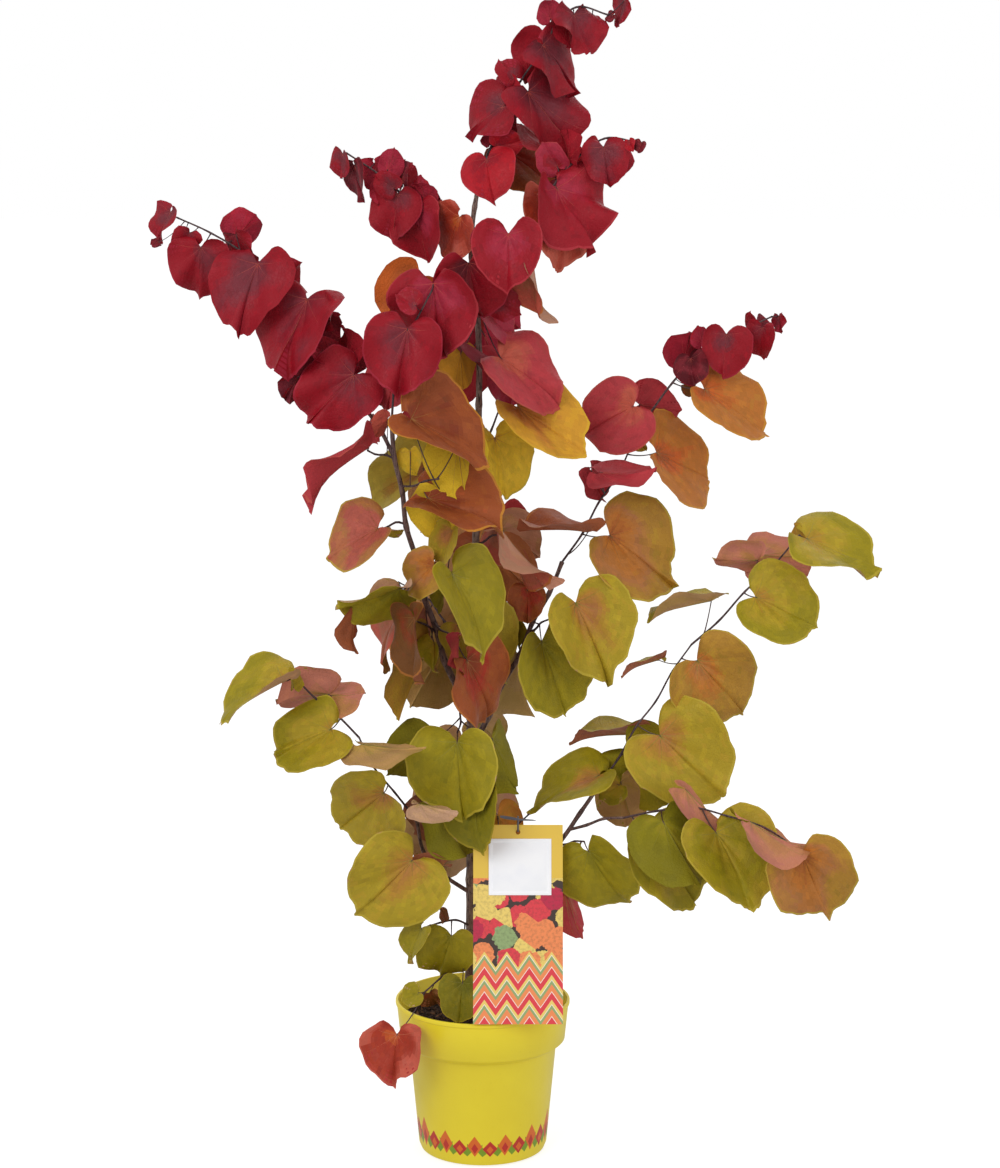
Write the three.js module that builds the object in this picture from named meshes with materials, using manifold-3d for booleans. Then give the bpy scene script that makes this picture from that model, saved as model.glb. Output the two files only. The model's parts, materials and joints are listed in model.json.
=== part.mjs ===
// A young redbud in autumn colour, in a yellow nursery pot with a printed card.
// Millimetres, +Z up, seen from -Y, with the origin at the middle of the pot's flat underside.
import * as THREE from "three";
import { mergeVertices } from "three/addons/utils/BufferGeometryUtils.js";
import Module from "manifold-3d";

const wasm = await Module();
wasm.setup();

// ---------------------------------------------------------------- driving sizes

const clearance = 0.3; // air between neighbouring solids

const pot = {
  height: 195,
  rimRadius: 110,
  rimBand: 50, // height of the collar below the lip
  collarRadius: 104, // outer radius at the collar's lower edge
  shoulderRadius: 94, // body just below the collar
  footRadius: 80,
  footRounding: 9,
  wall: 2.2,
  floor: 3,
  drainHoles: 6,
  drainRadius: 5,
  drainCircle: 60,
  drainSides: 8,
  segments: 28,
};

const soil = {
  level: 169, // top of the compost, below the pot's lip
  crown: 4, // how much lower it lies at the wall
  mound: 24, // radius of its level top round the trunk
};

const leafShape = {
  thickness: 2, // at the midrib's bend, thinning to the edge
  fold: [14, 30], // degrees each half is raised, least and most
  curl: [0.04, 0.16], // how far the tip drops, in leaf lengths
  pitch: [-14, 14], // degrees the tip leans out or in
  // half outline from the stalk's notch to the tip, in leaf lengths: along and across
  half: [
    [-0.21, 0.3],
    [0.15, 0.62],
    [0.64, 0.45],
  ],
  tip: 1.04,
  rib: 0.45, // place of the midrib's bend
};

const stalk = {
  thick: 1, // radius at the twig
  thin: 0.5, // radius inside the blade
  root: 0.6, // depth sunk past the twig's middle
  hold: 0.3, // of the leaf's length, run into the blade
  standOff: 0.16, // of the leaf's length, the blade's place before or behind the twig
};

const card = {
  width: 110,
  length: 243,
  thickness: 1,
  corner: 16, // cut off at its upper left
  middle: 44, // x of its middle
  foot: [-113, 197], // y and z of its lower edge
  lean: 13, // degrees its top leans back
  holeRadius: 3,
  holeDrop: 9, // from the upper edge to the hole
};

// The tie: a loop through the card's hole and round the twig behind it, with two loose ends.
const tie = {
  loop: 9, // radius of the loop
  wire: 1.2, // radius of the wire
  middle: [44, -56, 434.1],
  ends: [44, 4, 2.4], // length of both ends together, their depth and height
  endsRise: 7.2, // above the loop's middle
  endsForward: 5.6, // in front of it
  loopSides: 14,
  wireSides: 5,
};

const colours = {
  pot: 0xd9c32e,
  soil: 0x2b211c,
  bark: 0x57463f,
  card: 0xe3bd4c,
  tie: 0x55555c,
  crimson: 0x8c1c2d,
  rust: 0xa8552b,
  gold: 0xb78a2f,
  olive: 0xa29a2c,
  green: 0x7d8c24,
};

// ---------------------------------------------------------------- limbs

// The trunk runs from its flat cut on the compost to the bare foot of the leader.
const trunk = {
  foot: [-15, 0, soil.level + clearance],
  ways: [
    [-13, 0, 547],
    [-8, 4, 772],
    [-4, 0, 1031],
    [-13, 0, 1155],
    [5, 0, 1244],
  ],
  rings: 18,
  flare: 11.5, // radius of the root flare at the cut
  flareHeight: 34,
  thick: 6.6,
  thin: 2.6,
};

// Each bough springs from a share of its parent's length and runs to its tip; bow is how far
// its middle stands off the straight line.
const boughs = {
  left_tall: { on: "trunk", at: 0.35, tip: [-107, -90, 934], bow: [-16, 0, 0], thick: 4.2, thin: 2.6 },
  left_upper: { on: "bough_left_tall", at: 0.89, tip: [-158, -60, 984], bow: [0, 0, 0], thick: 2.6, thin: 2 },
  upper_right: { on: "trunk", at: 0.84, tip: [75, -45, 1198], bow: [-6, -6, 0], thick: 2.2, thin: 1.7 },
  right_mid: { on: "trunk", at: 0.325, tip: [100, 60, 743], bow: [2, 0, 0], thick: 3.6, thin: 2.6 },
  right_low: { on: "trunk", at: 0.135, tip: [146, -10, 473], bow: [14, -14, -6], thick: 3.8, thin: 2.4 },
  right_side: { on: "bough_right_low", at: 0.7, tip: [173, -60, 443], bow: [0, 0, 3], thick: 2, thin: 1.5 },
  left_low: { on: "trunk", at: 0.15, tip: [-81, -40, 435], bow: [-14, 0, -10], thick: 2.8, thin: 2 },
};

const wood = {
  trunkSides: 10,
  boughSides: 6,
  twigSides: 3,
  stalkSides: 3,
  nodeSpacing: 46, // length between the bends of a limb
  fewestBends: 3,
  zigzag: 1.6, // how far a limb swings at each bend
};

const twig = { thick: 2, thin: 1.4 };

// ---------------------------------------------------------------- foliage

// One row for each leaf: its place along the twig, the way its stalk points and how long that is,
// the way its tip hangs, its length, and its turn about the midrib. Directions are degrees seen
// from the front (0 right, 90 up, 180 left, 270 down), and a turn of 0 shows the upper face,
// 90 the edge and 180 the underside.
const sprays = {
  low_twig: {
    on: "trunk", at: 0.11, tip: [-71, -60, 304], bow: [0, 0, 8], tint: "green",
    rows: [
      [0.45, 270, 12, 256, 66, 6], [1, 180, 4, 245, 52, 60], [0.6, 90, 3, 100, 18, 55],
      [0.15, 268, 60, 265, 52, 20],
    ],
  },
  low_heart: {
    on: "trunk", at: 0.06, tip: [-71, -62, 222], bow: [0, 0, 10], tint: "rust",
    rows: [[1, 235, 60, 260, 66, 22], [1, 180, 8, 210, 26, 25], [0.8, 240, 12, 300, 26, 20]],
  },
  left_foot: {
    on: "bough_left_low", at: 0.45, tip: [-68, -60, 392], bow: [0, 0, 0], tint: "olive",
    rows: [[1, 175, 18, 226, 104, -8], [0.3, 20, 10, 182, 48, 120]],
  },
  centre_foot: {
    on: "trunk", at: 0.22, tip: [-14, -60, 478], bow: [0, -10, 0], tint: "green",
    rows: [[1, 30, 10, 263, 82, 48], [0.9, 195, 38, 300, 84, 118], [0.6, 150, 30, 268, 38, 125]],
  },
  centre_low: {
    on: "bough_left_tall", at: 0.08, tip: [-30, -70, 552], bow: [0, 0, 0], tint: "green",
    rows: [[1, 270, 8, 270, 104, 20], [0.5, 219, 52, 216, 66, 165], [0.6, 328, 46, 284, 76, 135]],
  },
  centre_right: {
    on: "trunk", at: 0.17, tip: [58, -56, 447], bow: [0, -10, 4], tint: "olive",
    rows: [[0.55, 95, 34, 290, 62, 160]],
  },
  centre_mid: {
    on: "bough_left_tall", at: 0.36, tip: [-31, -100, 672], bow: [0, -8, 0], tint: "rust",
    rows: [[0.2, 350, 6, 308, 124, -64], [1, 295, 30, 291, 104, -50], [1, 10, 4, 264, 44, 106]],
  },
  left_hang: {
    on: "bough_left_tall", at: 0.32, tip: [-96, -84, 704], bow: [0, 0, 0], tint: "rust",
    rows: [
      [0.6, 90, 12, 268, 86, 65], [1, 230, 15, 251, 88, 72], [0.3, 98, 18, 273, 48, 118],
      [0.15, 262, 18, 241, 104, 110], [0.2, 290, 14, 262, 40, 60],
    ],
  },
  left_drop: {
    on: "bough_left_tall", at: 0.46, tip: [-90, -80, 736], bow: [0, 0, 0], tint: "olive",
    rows: [
      [0.9, 190, 12, 203, 84, -74], [0.9, 208, 72, 258, 52, 106], [0.3, 62, 43, 222, 57, 28],
      [0.2, 36, 36, 219, 38, 150],
    ],
  },
  centre_left: {
    on: "bough_left_tall", at: 0.52, tip: [-41, -96, 753], bow: [0, -6, 4], tint: "green",
    rows: [[1, 15, 6, 300, 110, -56], [1, 84, 52, 248, 49, 58], [0.95, 285, 9, 254, 43, 118]],
  },
  left_mid: {
    on: "bough_left_tall", at: 0.68, tip: [-124, -78, 802], bow: [0, 0, 4], tint: "rust",
    rows: [[1, 90, 4, 213, 76, 44], [0.8, 0, 3, 350, 24, 60]],
  },
  left_high: {
    on: "bough_left_tall", at: 0.885, tip: [-136, -92, 900], bow: [0, 0, 0], tint: "crimson",
    rows: [[1, 60, 4, 213, 104, 94], [0.3, 88, 44, 222, 30, 135]],
  },
  left_gold: {
    on: "bough_left_tall", at: 0.8, tip: [-50, -110, 868], bow: [0, -10, 0], tint: "gold",
    rows: [
      [0.6, 297, 19, 344, 102, -56], [0.9, 110, 78, 333, 112, -56], [0.5, 60, 13, 208, 84, 46],
      [0.9, 300, 20, 266, 71, 145], [0.95, 60, 50, 275, 76, 160], [0.3, 90, 40, 277, 30, 30],
    ],
  },
  left_inner: {
    on: "bough_left_tall", at: 1, tip: [-58, -100, 1090], bow: [-14, -6, 0], tint: "crimson",
    rows: [
      [0.7, 180, 5, 261, 84, 5], [1, 80, 8, 276, 91, 18], [0.95, 130, 24, 227, 70, 165],
      [0.35, 90, 4, 250, 54, 20],
    ],
  },
  right_inner: {
    on: "trunk", at: 0.66, tip: [40, 30, 962], bow: [0, 0, 8], tint: "gold",
    rows: [[1, 99, 22, 266, 60, 50], [0.85, 330, 14, 324, 104, -48], [0.3, 0, 8, 288, 80, -40]],
  },
  right_centre: {
    on: "trunk", at: 0.56, tip: [22, -10, 787], bow: [0, 0, 2], tint: "rust",
    rows: [[1, 60, 6, 306, 92, 76]],
  },
  right_nook: {
    on: "bough_right_mid", at: 0.75, tip: [56, 15, 712], bow: [0, 0, 0], tint: "rust",
    rows: [[1, 90, 4, 268, 44, 4]],
  },
  right_base: {
    on: "bough_right_mid", at: 0.62, tip: [81, 20, 676], bow: [0, 0, 0], tint: "green",
    rows: [
      [0.6, 277, 20, 289, 110, -42], [1, 35, 42, 295, 106, -28], [0.3, 241, 38, 269, 110, 114],
      [0.6, 150, 40, 268, 88, 118],
    ],
  },
  crown: {
    on: "trunk", at: 0.82, tip: [26, -86, 1136], bow: [0, -14, 0], tint: "crimson",
    rows: [
      [0.8, 170, 33, 276, 84, 2], [1, 74, 21, 268, 74, 5], [0.9, 355, 40, 275, 76, 74],
      [0.12, 0, 5, 317, 58, -50], [0.12, 294, 61, 325, 100, -46], [0.12, 226, 41, 319, 59, 78],
      [0.12, 245, 56, 272, 46, 160],
    ],
  },
  upper_left: {
    on: "trunk", at: 0.905, tip: [-166, 46, 1250], bow: [0, 0, 0], tint: "crimson",
    rows: [
      [1, 190, 4, 262, 33, 50], [0.93, 270, 8, 279, 48, 62], [0.82, 45, 8, 282, 40, 140],
      [0.53, 100, 14, 84, 31, 114], [0.58, 270, 4, 259, 61, 28], [0.42, 250, 4, 274, 68, 35],
      [0.22, 250, 17, 91, 41, 120], [0.1, 90, 19, 250, 64, 40],
    ],
  },
  leader: {
    on: "trunk", at: 1, tip: [74, -10, 1372], bow: [-4, 0, 4], tint: "crimson",
    rows: [
      [0.02, 270, 4, 272, 58, 20], [0.46, 180, 6, 212, 61, 38], [0.48, 180, 6, 88, 43, 135],
      [0.7, 180, 14, 307, 58, 110], [0.6, 355, 14, 305, 90, -40], [0.3, 0, 24, 323, 77, 98],
      [0.08, 355, 19, 323, 80, -42],
    ],
  },
  leader_tip: {
    on: "foliage_leader", at: 1, tip: [150, -14, 1412], bow: [-10, 0, 24], tint: "crimson",
    rows: [
      [0.06, 100, 4, 240, 54, 168], [0.06, 190, 4, 310, 74, -42], [0.5, 270, 6, 270, 38, 125],
      [0.58, 270, 5, 284, 58, -42], [1, 41, 26, 253, 33, 62], [1, 0, 7, 214, 13, 40],
    ],
  },
  upper_right: {
    on: "bough_upper_right", at: 1, tip: [184, -72, 1262], bow: [0, 0, 28], tint: "crimson",
    rows: [
      [0.62, 350, 9, 277, 48, 12], [0.9, 0, 3, 285, 14, 40], [1, 0, 4, 250, 14, 30],
      [0.25, 72, 18, 88, 38, 130], [0.5, 95, 6, 277, 58, 145], [0.15, 270, 5, 304, 90, -44],
      [0.06, 280, 6, 287, 91, -43], [0.2, 180, 4, 342, 46, 48],
    ],
  },
  left_spray_inner: {
    on: "bough_left_upper", at: 1, tip: [-245, -10, 1085], bow: [-6, 0, 8], tint: "crimson",
    rows: [
      [0.06, 350, 11, 225, 85, 12], [0.22, 74, 21, 234, 83, 150], [0.15, 15, 10, 90, 42, 130],
      [0.3, 221, 51, 247, 34, 150], [0.85, 15, 24, 247, 103, 38], [0.5, 45, 15, 80, 42, 112],
    ],
  },
  left_spray_outer: {
    on: "foliage_left_spray_inner", at: 1, tip: [-372, 30, 1172], bow: [0, 0, 14], tint: "crimson",
    rows: [
      [0.03, 60, 6, 51, 38, 45], [0.15, 118, 18, 256, 90, 20], [0.42, 106, 22, 299, 44, 45],
      [0.7, 236, 20, 267, 66, 6], [1, 135, 10, 240, 41, 56], [0.93, 219, 40, 190, 12, 30],
      [0.9, 245, 32, 240, 10, 20],
    ],
  },
  right_mid_inner: {
    on: "bough_right_mid", at: 1, tip: [209, 104, 923], bow: [4, 0, 0], tint: "rust",
    rows: [
      [0.2, 0, 34, 323, 114, -36], [0.05, 54, 42, 172, 90, 94], [0.47, 103, 32, 355, 72, 110],
      [0.47, 120, 34, 284, 42, 130], [0.92, 112, 30, 211, 80, 14], [0.9, 90, 30, 350, 56, 168],
      [0.74, 5, 36, 328, 108, -50], [0.84, 90, 6, 302, 28, 130],
    ],
  },
  right_mid_outer: {
    on: "foliage_right_mid_inner", at: 1, tip: [366, 130, 1046], bow: [-14, 0, 14], tint: "crimson",
    rows: [
      [0.6, 45, 20, 269, 56, 4], [0.25, 349, 40, 327, 104, -54], [0.35, 62, 18, 275, 40, 28],
      [0.5, 0, 10, 290, 46, 160], [0.85, 0, 14, 262, 42, 38], [0.88, 60, 6, 300, 28, 150],
      [1, 5, 8, 272, 22, 58], [0.28, 330, 14, 320, 20, 140], [0.84, 80, 4, 90, 16, 130],
    ],
  },
  right_low_inner: {
    on: "bough_right_low", at: 1, tip: [262, 45, 640], bow: [0, 0, 0], tint: "olive",
    rows: [
      [0.42, 340, 29, 316, 114, -12], [0.9, 0, 18, 313, 102, -8], [0.2, 36, 28, 178, 86, 102],
      [0.05, 150, 8, 201, 96, 76], [0.05, 340, 22, 284, 66, 160], [0.22, 20, 10, 315, 92, 168],
      [0.86, 170, 24, 195, 54, 106], [0.06, 330, 20, 222, 34, 20],
    ],
  },
  right_low_outer: {
    on: "foliage_right_low_inner", at: 1, tip: [398, 68, 776], bow: [0, 0, -4], tint: "olive",
    rows: [
      [0.48, 345, 14, 338, 90, -28], [0.11, 78, 42, 188, 84, 100], [0.58, 84, 27, 181, 54, 142],
      [0.6, 80, 25, 356, 76, 134], [1, 335, 9, 338, 104, -62], [0.98, 270, 8, 85, 26, 125],
    ],
  },
  right_side: {
    on: "bough_right_side", at: 1, tip: [380, -138, 424], bow: [0, 0, 28], tint: "olive",
    rows: [
      [0.05, 314, 36, 305, 104, -30], [0.45, 302, 29, 300, 106, -32], [1, 315, 4, 296, 94, 6],
      [0.22, 270, 4, 296, 88, 160], [0.35, 87, 23, 312, 72, 104], [0.68, 75, 12, 326, 92, 110],
    ],
  },
  right_under: {
    on: "bough_right_low", at: 0.6, tip: [126, -44, 409], bow: [0, 0, 0], tint: "green",
    rows: [[1, 300, 10, 302, 94, 30], [0.9, 249, 60, 284, 74, 120]],
  },
  left_low_inner: {
    on: "bough_left_low", at: 1, tip: [-150, -66, 545], bow: [-6, 0, 0], tint: "olive",
    rows: [
      [0.45, 235, 8, 224, 96, 6], [0.7, 106, 38, 354, 82, 100], [0.1, 66, 30, 345, 52, 100],
      [0.06, 56, 30, 257, 64, 102],
    ],
  },
  left_low_outer: {
    on: "foliage_left_low_inner", at: 1, tip: [-228, -80, 624], bow: [0, 0, 0], tint: "olive",
    rows: [
      [0.3, 222, 14, 204, 84, 36], [0.42, 97, 20, 182, 72, 134], [0.42, 94, 19, 358, 46, 138],
      [1, 195, 10, 202, 96, 64], [0.98, 270, 8, 92, 26, 125],
    ],
  },
};

// Hidden from the front, these fill the crown behind the trunk. A seeded rule deals their rows:
// leaves sit in turn on the two sides of the twig and grow smaller towards its tip.
const backSprays = {
  back_low: { on: "trunk", at: 0.21, tip: [-20, 190, 520], largest: 92, tint: "green" },
  back_left: { on: "trunk", at: 0.42, tip: [-110, 170, 700], largest: 88, tint: "olive" },
  back_right: { on: "trunk", at: 0.5, tip: [16, 220, 790], largest: 84, tint: "rust" },
  back_mid: { on: "trunk", at: 0.62, tip: [-70, 200, 930], largest: 84, tint: "gold" },
  back_high: { on: "trunk", at: 0.76, tip: [-10, 150, 1100], largest: 76, tint: "crimson" },
};

const backRule = {
  seed: 11,
  bow: [0, 0, 20],
  leaves: 6, // on each twig
  first: 0.28, // place of the lowest leaf along the twig
  smallest: 0.55, // length of the last leaf, as a share of the first
  spread: 38, // degrees the tips swing from straight down to each side
  stalk: 0.3, // of the leaf's length
  turn: 26, // most turn about the midrib
};

// How far a leaf is moved forward (less) or back (more) to clear its neighbours, and how many
// degrees its tip leans back, in this order.
const shifts = [0, -8, 8, -16, 16, -26, 26, -38, 38, -52, 52, -70, 70];
const leans = [0, 20, -20];
const moves = shifts.flatMap((shift) => leans.map((lean) => ({ shift, lean })));

// ---------------------------------------------------------------- helpers

const toRadians = THREE.MathUtils.degToRad;

const vector = (values) => new THREE.Vector3(...values);

// A repeatable stream of numbers from 0 to 1.
function seeded(seed) {
  let state = seed >>> 0;
  return () => {
    state = (Math.imul(state, 1664525) + 1013904223) >>> 0;
    return state / 4294967296;
  };
}

const between = (range, share) => range[0] + (range[1] - range[0]) * share;

function solidFrom(geometry) {
  const bare = geometry.clone();
  bare.deleteAttribute("normal");
  bare.deleteAttribute("uv");
  const merged = mergeVertices(bare, 1e-3);
  return new wasm.Manifold(
    new wasm.Mesh({
      numProp: 3,
      vertProperties: merged.attributes.position.array,
      triVerts: new Uint32Array(merged.index.array),
    }),
  );
}

function solidOf(positions, faces) {
  const geometry = new THREE.BufferGeometry();
  geometry.setAttribute("position", new THREE.Float32BufferAttribute(positions, 3));
  geometry.setIndex(faces);
  return solidFrom(geometry);
}

function geometryFrom(solid) {
  const mesh = solid.getMesh();
  const geometry = new THREE.BufferGeometry();
  geometry.setAttribute("position", new THREE.BufferAttribute(mesh.vertProperties, 3));
  geometry.setIndex(new THREE.BufferAttribute(mesh.triVerts, 1));
  geometry.computeVertexNormals();
  return geometry;
}

// The largest piece of a solid, with its sealed hollows filled and its scraps dropped.
function mainPiece(solid) {
  const pieces = solid.decompose();
  return pieces.reduce((best, piece) => (piece.volume() > best.volume() ? piece : best));
}

// ---------------------------------------------------------------- tapering limbs

// A closed tube of flat sides through the points, each with its own radius.
function taperedTube(points, radii, sides) {
  const positions = [];
  const faces = [];
  points.forEach((point, i) => {
    const before = points[Math.max(i - 1, 0)];
    const after = points[Math.min(i + 1, points.length - 1)];
    const along = after.clone().sub(before).normalize();
    const across = new THREE.Vector3(0, 1, 0).cross(along);
    if (across.length() < 0.2) across.set(1, 0, 0).cross(along);
    across.normalize();
    const upright = along.clone().cross(across);
    for (let side = 0; side < sides; side += 1) {
      const turn = (2 * Math.PI * side) / sides;
      const corner = point
        .clone()
        .addScaledVector(across, radii[i] * Math.cos(turn))
        .addScaledVector(upright, radii[i] * Math.sin(turn));
      positions.push(corner.x, corner.y, corner.z);
    }
  });
  const last = (points.length - 1) * sides;
  for (let ring = 0; ring < last; ring += sides) {
    for (let side = 0; side < sides; side += 1) {
      const next = (side + 1) % sides;
      faces.push(ring + side, ring + next, ring + sides + next);
      faces.push(ring + side, ring + sides + next, ring + sides + side);
    }
  }
  for (let side = 1; side < sides - 1; side += 1) {
    faces.push(0, side + 1, side);
    faces.push(last, last + side, last + side + 1);
  }
  return solidOf(positions, faces);
}

// A limb's line: straight from start to tip, bowed, and swung a little at each bend.
function limbLine(start, tip, bow, swing) {
  const run = tip.clone().sub(start);
  const bends = Math.max(wood.fewestBends, Math.round(run.length() / wood.nodeSpacing));
  const aside = new THREE.Vector3(0, 1, 0).cross(run).normalize();
  const line = [];
  for (let bend = 0; bend <= bends; bend += 1) {
    const share = bend / bends;
    const inside = bend > 0 && bend < bends;
    const offset = inside ? (bend % 2 ? swing : -swing) : 0;
    line.push(
      start
        .clone()
        .addScaledVector(run, share)
        .addScaledVector(bow, 4 * share * (1 - share))
        .addScaledVector(aside, offset),
    );
  }
  return line;
}

function pointAlong(line, share) {
  const lengths = line.slice(1).map((point, i) => point.distanceTo(line[i]));
  let left = share * lengths.reduce((sum, length) => sum + length, 0);
  for (let i = 0; i < lengths.length; i += 1) {
    if (left <= lengths[i] || i === lengths.length - 1) {
      return line[i].clone().lerp(line[i + 1], left / lengths[i]);
    }
    left -= lengths[i];
  }
  return line[0].clone();
}

function taper(line, thick, thin) {
  return line.map((point, i) => between([thick, thin], i / (line.length - 1)));
}

// ---------------------------------------------------------------- leaves

// Where one leaf lies: its base, its own three directions and how it is bent.
function leafPlace(node, row, seed, move) {
  const [, aim, reach, hang, length, turn] = row;
  const random = seeded(seed);
  const fold = toRadians(between(leafShape.fold, random()));
  const curl = between(leafShape.curl, random()) * length;
  const pitch = toRadians(between(leafShape.pitch, random()) + move.lean);
  const rise = toRadians(aim);
  const heading = toRadians(hang);
  const roll = toRadians(turn);

  const base = node.clone();
  base.x += reach * Math.cos(rise);
  base.z += reach * Math.sin(rise);
  base.y += -Math.cos(roll) * stalk.standOff * length + move.shift;

  const along = new THREE.Vector3(
    Math.cos(heading) * Math.cos(pitch),
    Math.sin(pitch),
    Math.sin(heading) * Math.cos(pitch),
  );
  const front = new THREE.Vector3(0, -1, 0);
  front.addScaledVector(along, -front.dot(along)).normalize();
  const up = front.clone().applyAxisAngle(along, roll);
  const across = up.clone().cross(along);
  return { base, along, across, up, length, fold, curl };
}

// A point of the blade: u along and v across in leaf lengths, and its height off the middle.
function leafPoint(leaf, u, v, height) {
  const rise = Math.abs(v) * leaf.length * Math.sin(leaf.fold) - leaf.curl * u * u + height;
  return leaf.base
    .clone()
    .addScaledVector(leaf.along, u * leaf.length)
    .addScaledVector(leaf.across, v * leaf.length * Math.cos(leaf.fold))
    .addScaledVector(leaf.up, rise);
}

// The heart-shaped blade, folded along its midrib and thinning to its edge. A test of room adds
// some spare all round, which gives the edge a wall.
function bladeSolid(leaf, spare) {
  const outline = [[0, 0]];
  leafShape.half.forEach(([u, v]) => outline.push([u, v]));
  outline.push([leafShape.tip, 0]);
  [...leafShape.half].reverse().forEach(([u, v]) => outline.push([u, -v]));
  const rim = outline.length;
  const positions = [];
  [1, -1].forEach((side) => {
    outline.forEach(([u, v]) => positions.push(...leafPoint(leaf, u, v, side * spare).toArray()));
    const bend = side * (leafShape.thickness / 2 + spare);
    positions.push(...leafPoint(leaf, leafShape.rib, 0, bend).toArray());
  });
  const faces = [];
  const below = rim + 1;
  for (let i = 0; i < rim; i += 1) {
    const next = (i + 1) % rim;
    faces.push(rim, next, i);
    faces.push(below + rim, below + i, below + next);
    if (spare > 0) faces.push(i, next, below + next, i, below + next, below + i);
  }
  return solidOf(positions, faces);
}

// The stalk, from inside the twig to inside the blade.
function stalkSolid(leaf, node, spare) {
  const hold = leafPoint(leaf, stalk.hold, 0, 0);
  const root = node.clone().addScaledVector(hold.clone().sub(node).normalize(), -stalk.root);
  return taperedTube([root, hold], [stalk.thick + spare, stalk.thin + spare], wood.stalkSides);
}

// ---------------------------------------------------------------- pot, card and tie

const collarFoot = pot.height - pot.rimBand;

const turned = (profile) => {
  const points = profile.map(([radius, height]) => new THREE.Vector2(radius, height));
  return new THREE.LatheGeometry(points, pot.segments).rotateX(Math.PI / 2);
};

// The pot: a turned wall with a collar, and a ring of drain holes in its floor.
function potSolid() {
  const floorEdge = pot.footRadius - pot.footRounding;
  const profile = [
    [0, 0],
    [floorEdge, 0],
    [pot.footRadius - 2, 3],
    [pot.footRadius + 1, pot.footRounding],
    [pot.shoulderRadius, collarFoot - 8],
    [pot.collarRadius, collarFoot],
    [pot.rimRadius - 1, pot.height - 3],
    [pot.rimRadius, pot.height],
    [pot.rimRadius - pot.wall - 1, pot.height],
    [pot.collarRadius - pot.wall - 1, collarFoot + 3],
    [pot.shoulderRadius - pot.wall, collarFoot - 6],
    [pot.footRadius - pot.wall, pot.floor + 6],
    [floorEdge, pot.floor],
    [0, pot.floor],
  ];
  let shell = solidFrom(turned(profile));
  for (let hole = 0; hole < pot.drainHoles; hole += 1) {
    const turn = (2 * Math.PI * hole) / pot.drainHoles;
    const depth = 4 * pot.floor;
    const drill = new THREE.CylinderGeometry(pot.drainRadius, pot.drainRadius, depth, pot.drainSides);
    drill.rotateX(Math.PI / 2);
    drill.translate(pot.drainCircle * Math.cos(turn), pot.drainCircle * Math.sin(turn), 0);
    shell = shell.subtract(solidFrom(drill));
  }
  return shell;
}

// The compost fills the pot to its level, a hair inside the wall.
function soilSolid() {
  const inset = pot.wall + clearance + 0.2;
  const share = (soil.level - soil.crown - collarFoot) / pot.rimBand;
  const edge = between([pot.collarRadius, pot.rimRadius - 1], share) - inset - 1;
  const profile = [
    [0, pot.floor + clearance],
    [pot.footRadius - pot.footRounding - 1, pot.floor + clearance],
    [pot.footRadius - inset, pot.floor + 6],
    [pot.shoulderRadius - inset, collarFoot - 6],
    [pot.collarRadius - inset - 1, collarFoot + 3],
    [edge, soil.level - soil.crown],
    [soil.mound, soil.level],
    [0, soil.level],
  ];
  return solidFrom(turned(profile));
}

// The card: a plate with one cut corner and a hole, leaning back from the pot's lip.
function cardSolid() {
  const outline = new THREE.Shape();
  const side = card.width / 2;
  outline.moveTo(-side, 0);
  outline.lineTo(side, 0);
  outline.lineTo(side, card.length);
  outline.lineTo(-side + card.corner, card.length);
  outline.lineTo(-side, card.length - 1.4 * card.corner);
  outline.closePath();
  const hole = new THREE.Path();
  hole.absarc(0, card.length - card.holeDrop, card.holeRadius, 0, 2 * Math.PI, true);
  outline.holes.push(hole);
  const plate = new THREE.ExtrudeGeometry(outline, {
    depth: card.thickness,
    bevelEnabled: false,
    curveSegments: 6,
  });
  plate.rotateX(toRadians(90 - card.lean));
  plate.translate(card.middle, card.foot[0], card.foot[1]);
  return solidFrom(plate);
}

function tieSolid() {
  const loop = new THREE.TorusGeometry(tie.loop, tie.wire, tie.wireSides, tie.loopSides);
  loop.rotateY(Math.PI / 2);
  loop.translate(...tie.middle);
  const ends = new THREE.BoxGeometry(...tie.ends);
  ends.translate(tie.middle[0], tie.middle[1] - tie.endsForward, tie.middle[2] + tie.endsRise);
  return solidFrom(loop).add(solidFrom(ends));
}

// ---------------------------------------------------------------- building the plant

const group = new THREE.Group();
const solids = []; // every solid so far: its node's name, itself and its box
const limbs = {}; // every limb and twig so far: its line, radii and sides

function keep(name, solid) {
  solids.push({ name, solid, box: solid.boundingBox() });
}

function addMesh(name, solid, colour, roughness) {
  const material = new THREE.MeshStandardMaterial({ color: colour, roughness, metalness: 0 });
  const mesh = new THREE.Mesh(geometryFrom(solid), material);
  mesh.name = name;
  group.add(mesh);
}

function addPiece(name, solid, colour, roughness) {
  keep(name, solid);
  addMesh(name, solid, colour, roughness);
}

const apart = (a, b) => [0, 1, 2].some((i) => a.min[i] > b.max[i] || b.min[i] > a.max[i]);

const meets = (a, b) => !apart(a.boundingBox(), b.boundingBox()) && !a.intersect(b).isEmpty();

// Whether a solid touches one of another node.
function touches(name, solid) {
  const box = solid.boundingBox();
  const near = solids.filter((other) => other.name !== name && !apart(box, other.box));
  return near.some((other) => meets(other.solid, solid));
}

// A limb grown by the clearance, which cuts what springs from it.
function sleeveOf(name) {
  const { line, radii, sides } = limbs[name];
  const points = line.map((point) => point.clone());
  const end = points[points.length - 1];
  end.addScaledVector(end.clone().sub(points[points.length - 2]).normalize(), clearance);
  return taperedTube(points, radii.map((radius) => radius + clearance), sides);
}

function limbSolid(name, line, radii, sides, parent) {
  limbs[name] = { line, radii, sides };
  const solid = taperedTube(line, radii, sides);
  return parent ? mainPiece(solid.subtract(sleeveOf(parent))) : solid;
}

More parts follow.
